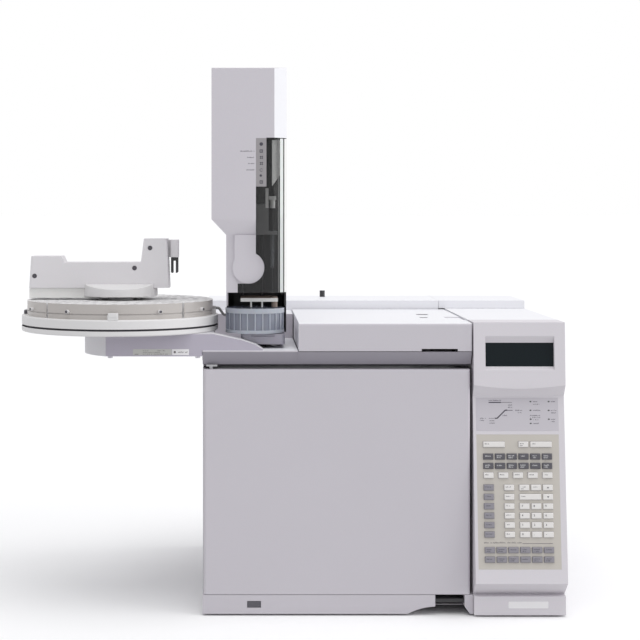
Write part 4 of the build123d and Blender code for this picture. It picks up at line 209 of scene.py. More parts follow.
# Painted shade: a dark grey for the faces of the groove in the tray base below the racks.
GROOVE_SHADE = surface("groove_shade", (0.30, 0.29, 0.31), 0.6, 0.2, 0.001, 0.05)
GUARD = surface("guard", (0.52, 0.52, 0.52), 0.45, 0.2, 0.0008, 0.04)
LABEL_FOIL = surface("label_foil", (0.76, 0.76, 0.745), 0.5, 0.1, 0.0005, 0.04)
WHITE_PART = surface("white_part", (0.93, 0.93, 0.92), 0.45, 0.2, 0.0008, 0.02)
SCREW_DARK = surface("screw_dark", (0.36, 0.35, 0.37), 0.4, 0.3, 0.0006, 0.1, **METAL)
SCREW_BRIGHT = surface("screw_bright", (0.72, 0.72, 0.73), 0.35, 0.3, 0.0006, 0.06, **METAL)
PRINT_SOFT = surface("print_soft", (0.45, 0.43, 0.44), 0.6, 0.1, 0.0005, 0.08)
LAMP_DARK = surface("lamp_dark", (0.22, 0.24, 0.22), 0.25, 0.1, 0.0005, 0.1, Coat_Weight=0.6)
# Painted highlight: a pale clear finish for the strip down the smoked door's chamfer.
RIB_HIGHLIGHT = surface("rib_highlight", (0.80, 0.82, 0.81), 0.2, 0.1, 0.003, 0.05, Coat_Weight=0.8)
BRASS = surface("brass", (0.78, 0.66, 0.42), 0.32, 0.25, 0.0006, 0.06, **METAL)
ROPE = surface("rope", (0.80, 0.78, 0.72), 0.9, 1.0, 0.0012, 0.12)
BUSH = surface("bush", (0.52, 0.46, 0.42), 0.4, 0.3, 0.0008, 0.08)
# Painted highlight: a paler clear finish for the turret's rib faces, for the white lines the light draws
# along the ribs.
TURRET_RIB_HIGHLIGHT = surface("turret_rib_highlight", (0.80, 0.82, 0.86), 0.18, 0.1, 0.003, 0.05, **SEE_THROUGH)
OVERRIDES = {"tower_front_cover": TOWER_GREY, "tower_housing": TOWER_GREY, "tray_bracket": BRACKET_GREY}


def soften(node, width):
    """Rounds a CAD node's sharp edges by modifiers, and shades the rest smooth."""
    piece = frame["nodes"][node]
    weld = piece.modifiers.new("weld", "WELD")
    weld.merge_threshold = WELD_REACH
    planar = piece.modifiers.new("planar", "DECIMATE")
    planar.decimate_type = "DISSOLVE"
    planar.angle_limit = FLAT_ANGLE
    edges = piece.modifiers.new("edges", "BEVEL")
    edges.width = width * MM
    edges.segments = 2
    edges.limit_method = "ANGLE"
    edges.angle_limit = EDGE_ANGLE
    edges.use_clamp_overlap = True
    normals = piece.modifiers.new("normals", "WEIGHTED_NORMAL")
    normals.keep_sharp = False
    for polygon in piece.data.polygons:
        polygon.use_smooth = True
    if piece.data.has_custom_normals:
        piece.data.attributes.remove(piece.data.attributes["custom_normal"])


for entry in frame["record"]["subparts"]:
    piece = frame["nodes"][entry["node"]]
    piece.data.materials.clear()
    piece.data.materials.append(OVERRIDES.get(entry["node"]) or LOOKS[entry["material_slot"]])
for width, nodes in EDGE_WIDTHS.items():
    for node in nodes:
        soften(node, width)


# ================================================================ places and small shapes
# Sizes below are in millimetres, as at() takes them.
LEFT, FRONT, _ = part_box("base_pan")[0]


def at(x, y, z):
    """A place on the instrument in scene metres."""
    return Vector((LEFT + x * MM, FRONT + y * MM, z * MM))


def face_plane(origin, along, up):
    """A flat place to build on: its first axis, its second axis and the way out of it."""
    along = Vector(along).normalized()
    up = Vector(up).normalized()
    out = along.cross(up)
    plane = Matrix((along, up, out)).transposed().to_4x4()
    plane.translation = at(*origin)
    return plane


def front_plane(y):
    return face_plane((0, y, 0), (1, 0, 0), (0, 0, 1))


def back_plane(y):
    return face_plane((0, y, 0), (-1, 0, 0), (0, 0, 1))


def right_plane(x):
    return face_plane((x, 0, 0), (0, 1, 0), (0, 0, 1))


def left_plane(x):
    return face_plane((x, 0, 0), (0, -1, 0), (0, 0, 1))


PANEL_FOOT = (0.0, -26.0, 58.0)  # lower edge of the console's leaning face
PANEL_LEAN = math.atan2(34.0, 299.0)
PANEL = face_plane(PANEL_FOOT, (1, 0, 0), (0, math.sin(PANEL_LEAN), math.cos(PANEL_LEAN)))

TOWER_FRONT = 22.0
TOWER_CORNER = 117.6  # where the tower's front turns into its chamfer
TOWER_RIGHT = 138.0
TOWER_BACK = 186.8
TOWER_WAIST = 646.0  # below it the tower is narrower
DOOR_LOW = 524.9
DOOR_HIGH = 778.3
CHAMFER = face_plane((TOWER_CORNER, TOWER_FRONT, 0), (1, 1, 0), (0, 0, 1))

TRAY_X = -142.2  # centre of the round tray
TRAY_Y = 110.0
KNOB_CIRCLE = 161.8  # radius of the faces that the racks' knobs end in
TURRET_X = 86.0
TURRET_Y = 75.0
RING_REACH = 48.6  # radius beyond which the turret is ribs only

BODY_RIGHT = 590.0
BODY_REAR = 522.0
FITTING_FIRST = 75.0
FITTING_PITCH = 30.0
FITTING_HEIGHT = 430.0

PRINT_RISE = 0.06  # how far printing stands out of its face
PRINT_SEAT = -0.2  # how far it reaches into it
TICK = 0.42  # width of a tick in printed rules


def loop_points(x0, x1, y0, y1, corner, steps):
    """Outline of a rectangle with rounded corners, anticlockwise."""
    corner = min(corner, (x1 - x0) / 2, (y1 - y0) / 2)
    if corner <= 0:
        return [(x0, y0), (x1, y0), (x1, y1), (x0, y1)]
    points = []
    centres = ((x1 - corner, y0 + corner, -90), (x1 - corner, y1 - corner, 0),
               (x0 + corner, y1 - corner, 90), (x0 + corner, y0 + corner, 180))
    for cx, cy, start in centres:
        for i in range(steps + 1):
            angle = math.radians(start + 90 * i / steps)
            points.append((cx + corner * math.cos(angle), cy + corner * math.sin(angle)))
    return points


def vertex(mesh, plane, x, y, z):
    """A new vertex at a place given in millimetres on a plane."""
    return mesh.verts.new(plane @ Vector((x * MM, y * MM, z * MM)))


def bridge(mesh, first, second):
    """Joins two closed rings of as many vertices with faces."""
    for i in range(len(first)):
        j = (i + 1) % len(first)
        mesh.faces.new((first[i], first[j], second[j], second[i]))


def slab(mesh, plane, outline, low, high, ease=0.0):
    """A closed flat body on a plane, from low to high out of it, with its upper edge eased."""
    count = len(outline)
    cx = sum(p[0] for p in outline) / count
    cy = sum(p[1] for p in outline) / count
    reach = max(math.hypot(x - cx, y - cy) for x, y in outline)
    rings = [(low, 1.0), (high - ease, 1.0)]
    if ease:
        rings.append((high, 1.0 - ease / reach))
    made = []
    for level, scale in rings:
        made.append([vertex(mesh, plane, cx + (x - cx) * scale, cy + (y - cy) * scale, level)
                     for x, y in outline])
    for lower, upper in zip(made, made[1:]):
        bridge(mesh, lower, upper)
    mesh.faces.new(made[-1])
    mesh.faces.new(list(reversed(made[0])))


def tile(mesh, plane, x0, x1, y0, y1, high, low=-0.3, corner=0.0, ease=0.0, steps=3):
    """A rounded rectangle raised from a plane."""
    slab(mesh, plane, loop_points(x0, x1, y0, y1, corner, steps), low, high, ease)


def disc(mesh, plane, x, y, radius, high, low=-0.3, ease=0.0, steps=6):
    """A round button raised from a plane."""
    tile(mesh, plane, x - radius, x + radius, y - radius, y + radius, high, low, radius, ease, steps)


def stroke(mesh, plane, points, width):
    """A printed line of even width through points on a plane."""
    for (x0, y0), (x1, y1) in zip(points, points[1:]):
        length = math.hypot(x1 - x0, y1 - y0)
        nx = -(y1 - y0) / length * width / 2
        ny = (x1 - x0) / length * width / 2
        tx = ny / 2
        ty = -nx / 2
        outline = [(x0 - nx - tx, y0 - ny - ty), (x1 - nx + tx, y1 - ny + ty),
                   (x1 + nx + tx, y1 + ny + ty), (x0 + nx - tx, y0 + ny - ty)]
        slab(mesh, plane, outline, PRINT_SEAT, PRINT_RISE)


def legend(mesh, plane, x, y, width, height=1.7, weight=TICK, seed=1, high=PRINT_RISE):
    """A plain printed rule made of short upright ticks, where a real panel carries its legend."""
    ticks = random.Random(seed)
    place = x
    while place < x + width:
        if ticks.random() > 0.14:
            tall = height * ticks.choice((0.62, 0.7, 0.78, 1.0))
            tile(mesh, plane, place, place + weight, y, y + tall, high)
            if ticks.random() > 0.4:
                shelf = y + tall * ticks.choice((0.0, 0.45, 0.8))
                tile(mesh, plane, place + weight, place + 1.9 * weight, shelf, shelf + 0.7 * weight, high)
        place += 2.1 * weight


def screw(mesh, plane, x, y, radius, high):
    """A round head with a recessed cross, standing on a plane."""
    disc(mesh, plane, x, y, radius, high * 0.55, -0.4, steps=5)
    crown = radius * 0.82
    half_slot = crown * 0.16
    steps = 5
    for sx, sy in ((1, 1), (1, -1), (-1, 1), (-1, -1)):
        quarter = [(x + sx * half_slot, y + sy * half_slot), (x + sx * crown, y + sy * half_slot)]
        for i in range(1, steps):
            angle = math.radians(90 * i / steps)
            quarter.append((x + sx * crown * math.cos(angle), y + sy * crown * math.sin(angle)))
        quarter.append((x + sx * half_slot, y + sy * crown))
        if sx * sy < 0:
            quarter.reverse()
        slab(mesh, plane, quarter, high * 0.5, high, 0.12 * high)


def new_piece(name, mesh, body, material, bevel=0.0, smooth=True):
    """Turns built geometry into a named piece that rides a body."""
    bmesh.ops.recalc_face_normals(mesh, faces=mesh.faces)
    data = bpy.data.meshes.new(name)
    mesh.to_mesh(data)
    mesh.free()
    piece = bpy.data.objects.new(name, data)
    bpy.context.scene.collection.objects.link(piece)
    data.materials.append(material)
    if smooth:
        data.polygons.foreach_set("use_smooth", [True] * len(data.polygons))
        data.set_sharp_from_angle(angle=EDGE_ANGLE)
    if bevel:
        edges = piece.modifiers.new("edges", "BEVEL")
        edges.width = bevel * MM
        edges.segments = 2
        edges.limit_method = "ANGLE"
        edges.angle_limit = EDGE_ANGLE
    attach(piece, body)
    return piece


def nut(mesh, plane, x, y, bore, across, low, high):
    """A hexagonal nut standing on a plane, by the radius of its bore and half its width across the flats."""
    sides = 6
    steps = 24
    wedge = 2 * math.pi / sides

    def ring(radius, level, polygon):
        made = []
        for i in range(steps):
            angle = 2 * math.pi * i / steps
            reach = radius / math.cos((angle % wedge) - wedge / 2) if polygon else radius
            made.append(vertex(mesh, plane, x + reach * math.cos(angle), y + reach * math.sin(angle), level))
        return made

    rings = [ring(bore, low, False), ring(across, low, True),
             ring(across, high, True), ring(bore, high, False)]
    for first, second in zip(rings, rings[1:] + rings[:1]):
        bridge(mesh, first, second)


# ================================================================ keypad and status legends
def key_islands(node):
    """The keys of one node as (left, right, low, high, top) on the panel, from its separate shells."""
    data = frame["nodes"][node].data
    flatten = PANEL.inverted()
    parent = {}

    def find(key):
        while parent[key] != key:
            parent[key] = parent[parent[key]]
            key = parent[key]
        return key

    spots = [tuple(round(c, 6) for c in vertex.co) for vertex in data.vertices]
    for spot in spots:
        parent.setdefault(spot, spot)
    for polygon in data.polygons:
        first = find(spots[polygon.vertices[0]])
        for index in polygon.vertices[1:]:
            parent[find(spots[index])] = first
    shells = {}
    for spot in set(spots):
        place = flatten @ Vector(spot)
        shells.setdefault(find(spot), []).append((place.x / MM, place.y / MM, place.z / MM))
    keys = []
    for shell in shells.values():
        top = max(p[2] for p in shell)
        face = [p for p in shell if p[2] > top - 0.2]
        keys.append((min(p[0] for p in face), max(p[0] for p in face), min(p[1] for p in face),
                     max(p[1] for p in face), top))
    return sorted(keys, key=lambda k: (-round(k[2]), k[0]))


def glyph(mesh, plane, text, x, y, size):
    """Plain digits from Blender's own font, thickened a little and laid on a plane."""
    curve = bpy.data.curves.new("glyph", "FONT")
    curve.body = text
    curve.size = 1.0
    curve.extrude = 2 * PRINT_RISE / size
    curve.resolution_u = 3
    curve.offset = 0.012
    holder = bpy.data.objects.new("glyph", curve)
    data = bpy.data.meshes.new_from_object(holder)
    data.transform(plane @ Matrix.Translation((x * MM, y * MM, 0)) @ Matrix.Scale(size * MM, 4))
    mesh.from_mesh(data)
    bpy.data.objects.remove(holder)
    bpy.data.curves.remove(curve)
    bpy.data.meshes.remove(data)


DIGITS = (("7", "8", "9"), ("4", "5", "6"), ("1", "2", "3"), ("0", ".", "-"))
ARROW_ROWS = 2  # rows above the digits
ARROW_HALF = 1.9
ARROW_TIP = 1.5
ROW_GAP = 4.0  # keys whose lower edges differ by more are in different rows
KEY_LEGENDS = {  # printed lines on the keys, and the length of the first
    "start_key": (1, 6.5), "stop_key": (2, 7.0), "prep_run_key": (1, 7.5), "zone_keys": (2, 9.5),
    "program_keys": (1, 8.0), "function_keys": (1, 9.5), "entry_keys": (1, 7.5), "method_keys": (2, 10.0),
}
SHADE_NEAR = 0.4  # the painted shade band round a key, from its edge
SHADE_FAR = 1.3


def key_rows(node):
    """The keys of a node in rows from the top, each from the left."""
    rows = []
    for key in key_islands(node):
        if not rows or abs(rows[-1][0][2] - key[2]) > ROW_GAP:
            rows.append([])
        rows[-1].append(key)
    return [sorted(row) for row in rows]


def print_number_key(mesh, face, key, r, c, columns):
    """Arrow, short rule or digit on one key of the number pad."""
    x0, x1, y0, y1, _ = key
    middle = (y0 + y1) / 2
    if r >= ARROW_ROWS:
        glyph(mesh, face, DIGITS[r - ARROW_ROWS][c], x0 + 2.2, middle - 0.9, 4.6)
    elif c == columns - 1:
        centre = (x0 + x1) / 2
        tip = ARROW_TIP if r == 0 else -ARROW_TIP
        foot = middle - tip * 0.7
        arrow = [(centre - ARROW_HALF, foot), (centre + ARROW_HALF, foot), (centre, middle + tip)]
        slab(mesh, face, arrow if r == 0 else arrow[::-1], PRINT_SEAT, PRINT_RISE)
    else:
        legend(mesh, face, x0 + 1.8, middle + 0.2, 7.5, seed=31 + 7 * r + c)
        if r == 0 and c == 0:
            legend(mesh, face, x0 + 1.8, middle - 2.6, 5.0, seed=37)


def print_word_key(mesh, face, key, node, r, seed):
    """One or two printed rules on a key that carries words."""
    x0, x1, y0, y1, _ = key
    middle = (y0 + y1) / 2
    lines, width = KEY_LEGENDS[node]
    width = min(width, x1 - x0 - 3.2) * random.Random(seed).uniform(0.72, 1.0)
    both = lines == 2 and (seed * 7 + r) % 3 != 0
    weight = 0.5 if node == "zone_keys" else TICK
    legend(mesh, face, x0 + 1.6, middle + (0.5 if both else 0.1), width, 1.9, weight, seed)
    if both:
        legend(mesh, face, x0 + 1.6, middle - 2.5, 0.75 * width, 1.9, weight, seed + 5)


def mark_key_shade(mesh, key):
    """Painted shade in a band round a key, where it passes through its plate."""
    x0, x1, y0, y1, _ = key
    # Painted shade on the plate round the key.
    for left, right in ((x0 - SHADE_FAR, x0 - SHADE_NEAR), (x1 + SHADE_NEAR, x1 + SHADE_FAR)):
        tile(mesh, PANEL, left, right, y0 - SHADE_FAR, y1 + SHADE_FAR, 0.05)
    for low, high in ((y0 - SHADE_FAR, y0 - SHADE_NEAR), (y1 + SHADE_NEAR, y1 + SHADE_FAR)):
        tile(mesh, PANEL, x0 - SHADE_NEAR, x1 + SHADE_NEAR, low, high, 0.05)


def make_key_prints():
    """Legends on every key, and the painted shade round it."""
    for number, node in enumerate([*KEY_LEGENDS, "numeric_keys"]):
        prints = bmesh.new()
        shade_bands = bmesh.new()
        for r, row in enumerate(key_rows(node)):
            for c, key in enumerate(row):
                face = PANEL @ Matrix.Translation((0, 0, key[4] * MM))
                if node == "numeric_keys":
                    print_number_key(prints, face, key, r, c, len(row))
                else:
                    print_word_key(prints, face, key, node, r, 100 * number + 10 * r + c)
                mark_key_shade(shade_bands, key)
        new_piece(node + "_wells", shade_bands, "mainframe", KEY_SHADE_BAND, smooth=False)
        light = node == "zone_keys"
        new_piece(node + "_print", prints, node + "_body", PRINT_LIGHT if light else PRINT_DARK,
                  smooth=False)


# Printed rules of the status panel: place along the panel, height up it and length.
STATUS_RULES = (
    (497.5, 286.2, 7.5), (497.4, 282.5, 7.5), (510.1, 277.6, 11.1), (513.3, 274.0, 6.2), (488.9, 269.3, 7.6),
    (467.1, 264.8, 8.0), (467.0, 260.9, 9.1), (467.8, 257.1, 8.1), (452.4, 264.8, 5.7), (460.6, 264.8, 1.6),
    (452.3, 261.3, 6.6), (539.4, 291.7, 6.5), (539.3, 287.5, 9.8), (539.1, 277.6, 13.1), (534.0, 269.2, 16.3),
    (534.0, 265.9, 16.3), (538.8, 262.6, 8.2), (538.7, 256.4, 8.9), (568.6, 291.7, 6.2), (568.5, 277.4, 8.1),
    (568.7, 273.7, 7.8), (568.1, 263.2, 6.6), (568.1, 259.5, 5.7),
)
LAMPS = ((535.3, 291.7), (535.0, 277.6), (535.0, 263.2), (534.9, 256.4), (564.9, 291.7), (564.6, 277.4),
         (564.6, 263.2))


def make_panel_prints():
    """Graph, rules and lamps of the status panel, the heading over the lower keys, and the base's label."""
    mesh = bmesh.new()
    legend(mesh, PANEL, 467.0, 292.7, 20.2, 1.9, seed=3)
    tile(mesh, PANEL, 466.9, 487.0, 289.5, 291.2, PRINT_RISE)
    tile(mesh, PANEL, 487.0, 504.8, 290.1, 290.7, PRINT_RISE)
    stroke(mesh, PANEL, [(476.9, 264.6), (480.5, 264.8), (493.9, 277.8), (496.7, 277.8)], 1.9)
    stroke(mesh, PANEL, [(496.2, 277.6), (505.7, 277.5)], 0.9)
    for number, (x, y, width) in enumerate(STATUS_RULES):
        legend(mesh, PANEL, x, y - 0.9, width, 1.9, seed=200 + number)
    new_piece("status_print", mesh, "mainframe", PRINT_DARK, smooth=False)

    mesh = bmesh.new()
    for x, y in LAMPS:
        tile(mesh, PANEL, x - 1.5, x + 1.5, y - 1.0, y + 1.0, 0.35, corner=0.7, ease=0.2)
    new_piece("status_lamps", mesh, "mainframe", LAMP_DARK)

    mesh = bmesh.new()
    legend(mesh, PANEL, 455.6, 64.3, 62.0, 2.5, 0.62, seed=400)
    tile(mesh, PANEL, 517.6, 566.6, 63.6, 64.5, PRINT_RISE)
    new_piece("keypad_heading", mesh, "mainframe", PRINT_SOFT, smooth=False)

    mesh = bmesh.new()
    tile(mesh, front_plane(-9.0), 496.6, 561.4, 14.4, 25.4, 0.35, corner=1.2, ease=0.2)
    new_piece("console_label", mesh, "mainframe", LABEL_PAPER)


def make_display():
    """Painted light on the lower and left inner slopes of the display's frame, where they face the light, and
    the two rules over its window.
    """
    low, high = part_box("display_window")
    left = (low[0] - LEFT) / MM + 0.1
    right = (high[0] - LEFT) / MM - 0.1
    edge = left + 0.8
    sill = 0.9
    top = 38.6
    mesh = bmesh.new()
    lean = face_plane((0, 3.3, 405.3), (1, 0, 0), (0, 1.9, 38.8))
    # Painted light: white strips on the sill and left side of the window's recess, where its slopes face the
    # light.
    slab(mesh, lean, [(left, 0.0), (right, 0.0), (right, sill), (edge, sill), (left, sill)], -0.2, 0.5)
    slab(mesh, lean, [(left, sill), (edge, sill), (edge, top), (left, top)], -0.2, 0.5)
    new_piece("display_lit_edge", mesh, "mainframe", LABEL_PAPER, smooth=False)

    mesh = bmesh.new()
    legend(mesh, PANEL, 524.2, 344.4, 10.3, 1.8, 0.4, seed=41)
    legend(mesh, PANEL, 547.8, 344.4, 13.7, 1.8, 0.4, seed=43)
    new_piece("display_print", mesh, "mainframe", PRINT_DARK, smooth=False)


def dot_mark(mesh, face, x, z):
    """A round mark."""
    disc(mesh, face, x, z, 2.9, 0.25, ease=0.1)


def small_dot_mark(mesh, face, x, z):
    """A small round mark, a little to the left."""
    disc(mesh, face, x - 0.8, z, 2.0, 0.25, ease=0.1)


def grid_mark(mesh, face, x, z):
    """Four squares."""
    for dx in (-2.2, 0.6):
        for dz in (-2.2, 0.5):
            tile(mesh, face, x + dx, x + dx + 2.0, z + dz, z + dz + 2.0, 0.2, corner=0.3)


def square_mark(mesh, face, x, z):
    """An open square with a spot in it."""
    for x0, x1, z0, z1 in ((-2.6, 2.6, -2.6, -1.6), (-2.6, 2.6, 1.6, 2.6), (-2.6, -1.6, -1.6, 1.6),
                           (1.6, 2.6, -1.6, 1.6), (-0.5, 1.0, -0.6, 0.7)):
        tile(mesh, face, x + x0, x + x1, z + z0, z + z1, 0.2)


def ring_mark(mesh, face, x, z):
    """A ring that is open on the right."""
    for i in range(1, 11):
        turn = [math.radians(30 * i), math.radians(30 * (i + 1))]
        outer = [(x + 2.6 * math.cos(a), z + 2.6 * math.sin(a)) for a in turn]
        inner = [(x + 1.9 * math.cos(a), z + 1.9 * math.sin(a)) for a in reversed(turn)]
        slab(mesh, face, outer + inner, -0.3, 0.2)


def make_tower_prints():
    """Seven marks on the indicator strip and the four rules beside it."""
    face = front_plane(TOWER_FRONT)
    mesh = bmesh.new()
    for mark, z in ((dot_mark, 769.0), (square_mark, 757.5), (grid_mark, 746.9), (grid_mark, 737.0),
                    (ring_mark, 726.3), (small_dot_mark, 717.3), (square_mark, 706.6)):
        mark(mesh, face, 96.0, z)
    new_piece("indicator_marks", mesh, "mainframe", PRINT_DARK, smooth=False)

    mesh = bmesh.new()
    right = 84.5
    for number, (x, z) in enumerate(((61.5, 756.5), (73.0, 746.2), (74.5, 736.2), (70.5, 725.8))):
        legend(mesh, face, x, z, right - x, 1.9, 0.4, seed=300 + number)
    new_piece("tower_print", mesh, "mainframe", PRINT_DARK, smooth=False)


# ================================================================ mechanical details
def make_door_highlights():
    """Pale rib and white strip down the chamfer of the smoked door, painted highlights where its edges catch
    the light.
    """
    mesh = bmesh.new()
    # Painted highlight: a pale strip where the door's chamfer catches the light.
    tile(mesh, CHAMFER, 13.2, 20.6, DOOR_LOW, DOOR_HIGH, 0.35, corner=0.4, ease=0.15)
    new_piece("door_rib_highlight", mesh, "window_door", RIB_HIGHLIGHT)
    mesh = bmesh.new()
    # Painted highlight: a white strip along the chamfer where the door's edge catches the light.
    tile(mesh, CHAMFER, 23.4, 29.0, DOOR_LOW, DOOR_HIGH, 0.5, corner=0.4, ease=0.2)
    new_piece("door_seal", mesh, "window_door", WHITE_PART)


def make_reflection_panel():
    """White panel with a slanting lower edge behind the top of the smoked door, a painted reflection on the
    door's upper part.
    """
    mesh = bmesh.new()
    inner = face_plane((TOWER_CORNER - 2.6, TOWER_FRONT + 6.2, 0), (1, 1, 0), (0, 0, 1))
    # Painted reflection: this white panel shows as the lighter upper part of the smoked door.
    slab(mesh, inner, [(-1.0, 700.0), (21.0, 722.0), (21.0, 776.0), (-1.0, 776.0)], -1.2, 0.0)
    new_piece("door_reflection_panel", mesh, "mainframe", WHITE_PART, bevel=0.2)


def make_door_line():
    """Thin line down the smoked door, in front of its rib."""
    mesh = bmesh.new()
    tile(mesh, CHAMFER, 9.2, 10.0, DOOR_LOW, DOOR_HIGH, 0.3)
    new_piece("door_line", mesh, "window_door", GUARD)


def make_inner_rail():
    """Short white rail beside the syringe."""
    mesh = bmesh.new()
    tile(mesh, front_plane(58.0), 103.5, 108.5, 664.0, 697.0, 0.0, -3.0, corner=0.6, ease=0.3)
    new_piece("inner_rail", mesh, "mainframe", WHITE_PART)


def make_arm_details():
    """Dark screws in the beam's counterbores, front and back."""
    low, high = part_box("arm_beam")
    bore = 1.5
    front = front_plane((low[1] - FRONT) / MM + bore)
    back = back_plane((high[1] - FRONT) / MM - bore)
    mesh = bmesh.new()
    for plane, sign in ((front, 1), (back, -1)):
        for x, z in ((-285.0, 549.6), (-116.7, 563.0), (-90.6, 596.7)):
            screw(mesh, plane, sign * x, z, 3.8, 1.1)
    new_piece("arm_screws", mesh, "beam", SCREW_DARK)


def make_knob_caps():
    """Dark caps on the racks' eight knobs."""
    mesh = bmesh.new()
    for quarter in range(4):
        for side in (-28.0, 28.0):
            angle = math.radians(90 * quarter + side)
            out = Vector((math.cos(angle), math.sin(angle), 0))
            along = (-out.y, out.x, 0)
            centre = (TRAY_X + KNOB_CIRCLE * out.x, TRAY_Y + KNOB_CIRCLE * out.y, 497.0)
            disc(mesh, face_plane(centre, along, (0, 0, 1)), 0, 0, 2.3, 1.0, -0.6, 0.4)
    new_piece("knob_caps", mesh, "mainframe", SCREW_DARK)


def make_bracket_plates():
    """The bracket's two plates, with plain rules and a dot for their printing."""
    face = front_plane(2.0)
    low = 424.2
    high = 433.9
    mesh = bmesh.new()
    tile(mesh, face, -113.3, -50.4, low, high, 0.3, corner=0.8, ease=0.15)
    new_piece("bracket_plate_left", mesh, "mainframe", LABEL_FOIL)
    mesh = bmesh.new()
    tile(mesh, face, -49.6, -22.0, low, high, 0.3, corner=0.8, ease=0.15)
    new_piece("bracket_plate_right", mesh, "mainframe", LABEL_PAPER)

    rise = 0.4
    mesh = bmesh.new()
    tile(mesh, face, -110.6, -104.6, 425.2, 426.0, rise)
    for row, (x, z, width) in enumerate(((-97.0, 430.6, 9.0), (-74.0, 430.6, 13.0), (-97.0, 427.9, 28.0),
                                         (-97.0, 425.2, 40.0))):
        legend(mesh, face, x, z, width, 1.5, seed=500 + row, high=rise)
    legend(mesh, face, -40.0, 428.0, 15.0, 2.2, 0.5, seed=520, high=rise)
    disc(mesh, face, -45.2, 429.0, 1.9, rise)
    new_piece("bracket_print", mesh, "mainframe", PRINT_SOFT, smooth=False)


def make_tray_catches():
    """The catch at the tray's front and the dark clip at its left."""
    mesh = bmesh.new()
    front = front_plane(TRAY_Y - 162.0)
    tile(mesh, front, -149.4, -133.0, 484.4, 496.2, 3.6, corner=1.0, ease=0.6)
    tile(mesh, front, -147.6, -134.8, 489.4, 494.6, 4.2, 3.0, corner=0.6, ease=0.3)
    new_piece("tray_catch", mesh, "mainframe", LOOKS["tray_white"])
    mesh = bmesh.new()
    side = front_plane(TRAY_Y - 6.0)
    tile(mesh, side, -304.6, -300.6, 485.6, 491.4, 6.0, corner=0.8, ease=0.4)
    tile(mesh, side, -301.4, -290.0, 485.6, 489.0, 6.0, corner=1.2, ease=0.4)
    new_piece("tray_clip", mesh, "mainframe", SCREW_DARK)


def make_body_screws():
    """Panel screws on the sides and back, the nuts on the gas fittings, and the back's two blank labels."""
    mesh = bmesh.new()
    for plane, sign, upper in ((right_plane(BODY_RIGHT), 1, 455.0), (left_plane(0.0), -1, 415.0)):
        for y in (46.0, 275.0, 505.0):
            for z in (20.0, upper):
                screw(mesh, plane, sign * y, z, 3.2, 1.4)
    rear = back_plane(BODY_REAR)
    for x in (12.0, 150.0, 295.0, 440.0, 578.0):
        for z in (20.0, 478.0):
            screw(mesh, rear, -x, z, 3.2, 1.4)
    for x in (500.5, 534.5):
        screw(mesh, rear, -x, 55.0, 1.8, 0.9)
    new_piece("panel_screws", mesh, "mainframe", SCREW_BRIGHT)

    mesh = bmesh.new()
    for i in range(4):
        nut(mesh, rear, -(FITTING_FIRST + FITTING_PITCH * i), FITTING_HEIGHT, 6.05, 8.2, 3.0, 8.0)
    new_piece("fitting_nuts", mesh, "mainframe", BRASS, bevel=0.25)

    mesh = bmesh.new()
    tile(mesh, rear, -575.0, -505.0, 130.0, 165.0, 0.3, corner=2.0, ease=0.15)
    tile(mesh, rear, -345.0, -275.0, 440.0, 462.0, 0.3, corner=2.0, ease=0.15)
    new_piece("rear_labels", mesh, "mainframe", LABEL_PAPER)


def make_seal_rope():
    """Rope seal round the oven door's plug."""
    low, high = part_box("oven_door_liner")
    plane = back_plane((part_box("oven_door_skin")[1][1] - FRONT) / MM)
    inset = 17.0
    radius = 2.6
    lift = 1.6
    facets = 8
    path = loop_points(-(high[0] - LEFT) / MM + inset, -(low[0] - LEFT) / MM - inset,
                       low[2] / MM + inset, high[2] / MM - inset, 8.0, 5)
    mesh = bmesh.new()
    rings = []
    for i, (x, z) in enumerate(path):
        px, pz = path[i - 1]
        qx, qz = path[(i + 1) % len(path)]
        length = math.hypot(qx - px, qz - pz)
        nx = (qz - pz) / length
        nz = -(qx - px) / length
        ring = []
        for k in range(facets):
            angle = 2 * math.pi * k / facets
            across = radius * math.cos(angle)
            out = lift + radius * math.sin(angle)
            ring.append(vertex(mesh, plane, x + across * nx, z + across * nz, out))
        rings.append(ring)
    for first, second in zip(rings, rings[1:] + rings[:1]):
        bridge(mesh, first, second)
    new_piece("door_seal_rope", mesh, "oven_door", ROPE)


# ================================================================ second finishes on CAD nodes
def second_finish(node, material, chosen):
    """Gives the faces of a CAD node that chosen() picks, by their middle in mm, another finish."""
    data = frame["nodes"][node].data
    data.materials.append(material)
    index = len(data.materials) - 1
    for polygon in data.polygons:
        centre = polygon.center
        if chosen((centre.x - LEFT) / MM, (centre.y - FRONT) / MM, centre.z / MM, polygon.normal):
            polygon.material_index = index


def tray_radius(x, y):
    """Distance from the tray's centre."""
    return math.hypot(x - TRAY_X, y - TRAY_Y)


def inside_tower(x, y, z, normal):
    """Whether a face lies on the inner side of the tower's covers."""
    past_chamfer = (x - TOWER_CORNER - (y - TOWER_FRONT)) / math.sqrt(2)
    outer = z > 890.0 or x < 15.0 or x > TOWER_RIGHT - 0.4 or y < TOWER_FRONT + 0.6 or y > TOWER_BACK - 0.4
    outer = outer or past_chamfer > -0.8
    if z < TOWER_WAIST:
        outer = outer or x < 38.9 or y < 34.7 or normal.x < -0.6 and x < 50 or normal.y < -0.6 and y < 60
    return not outer


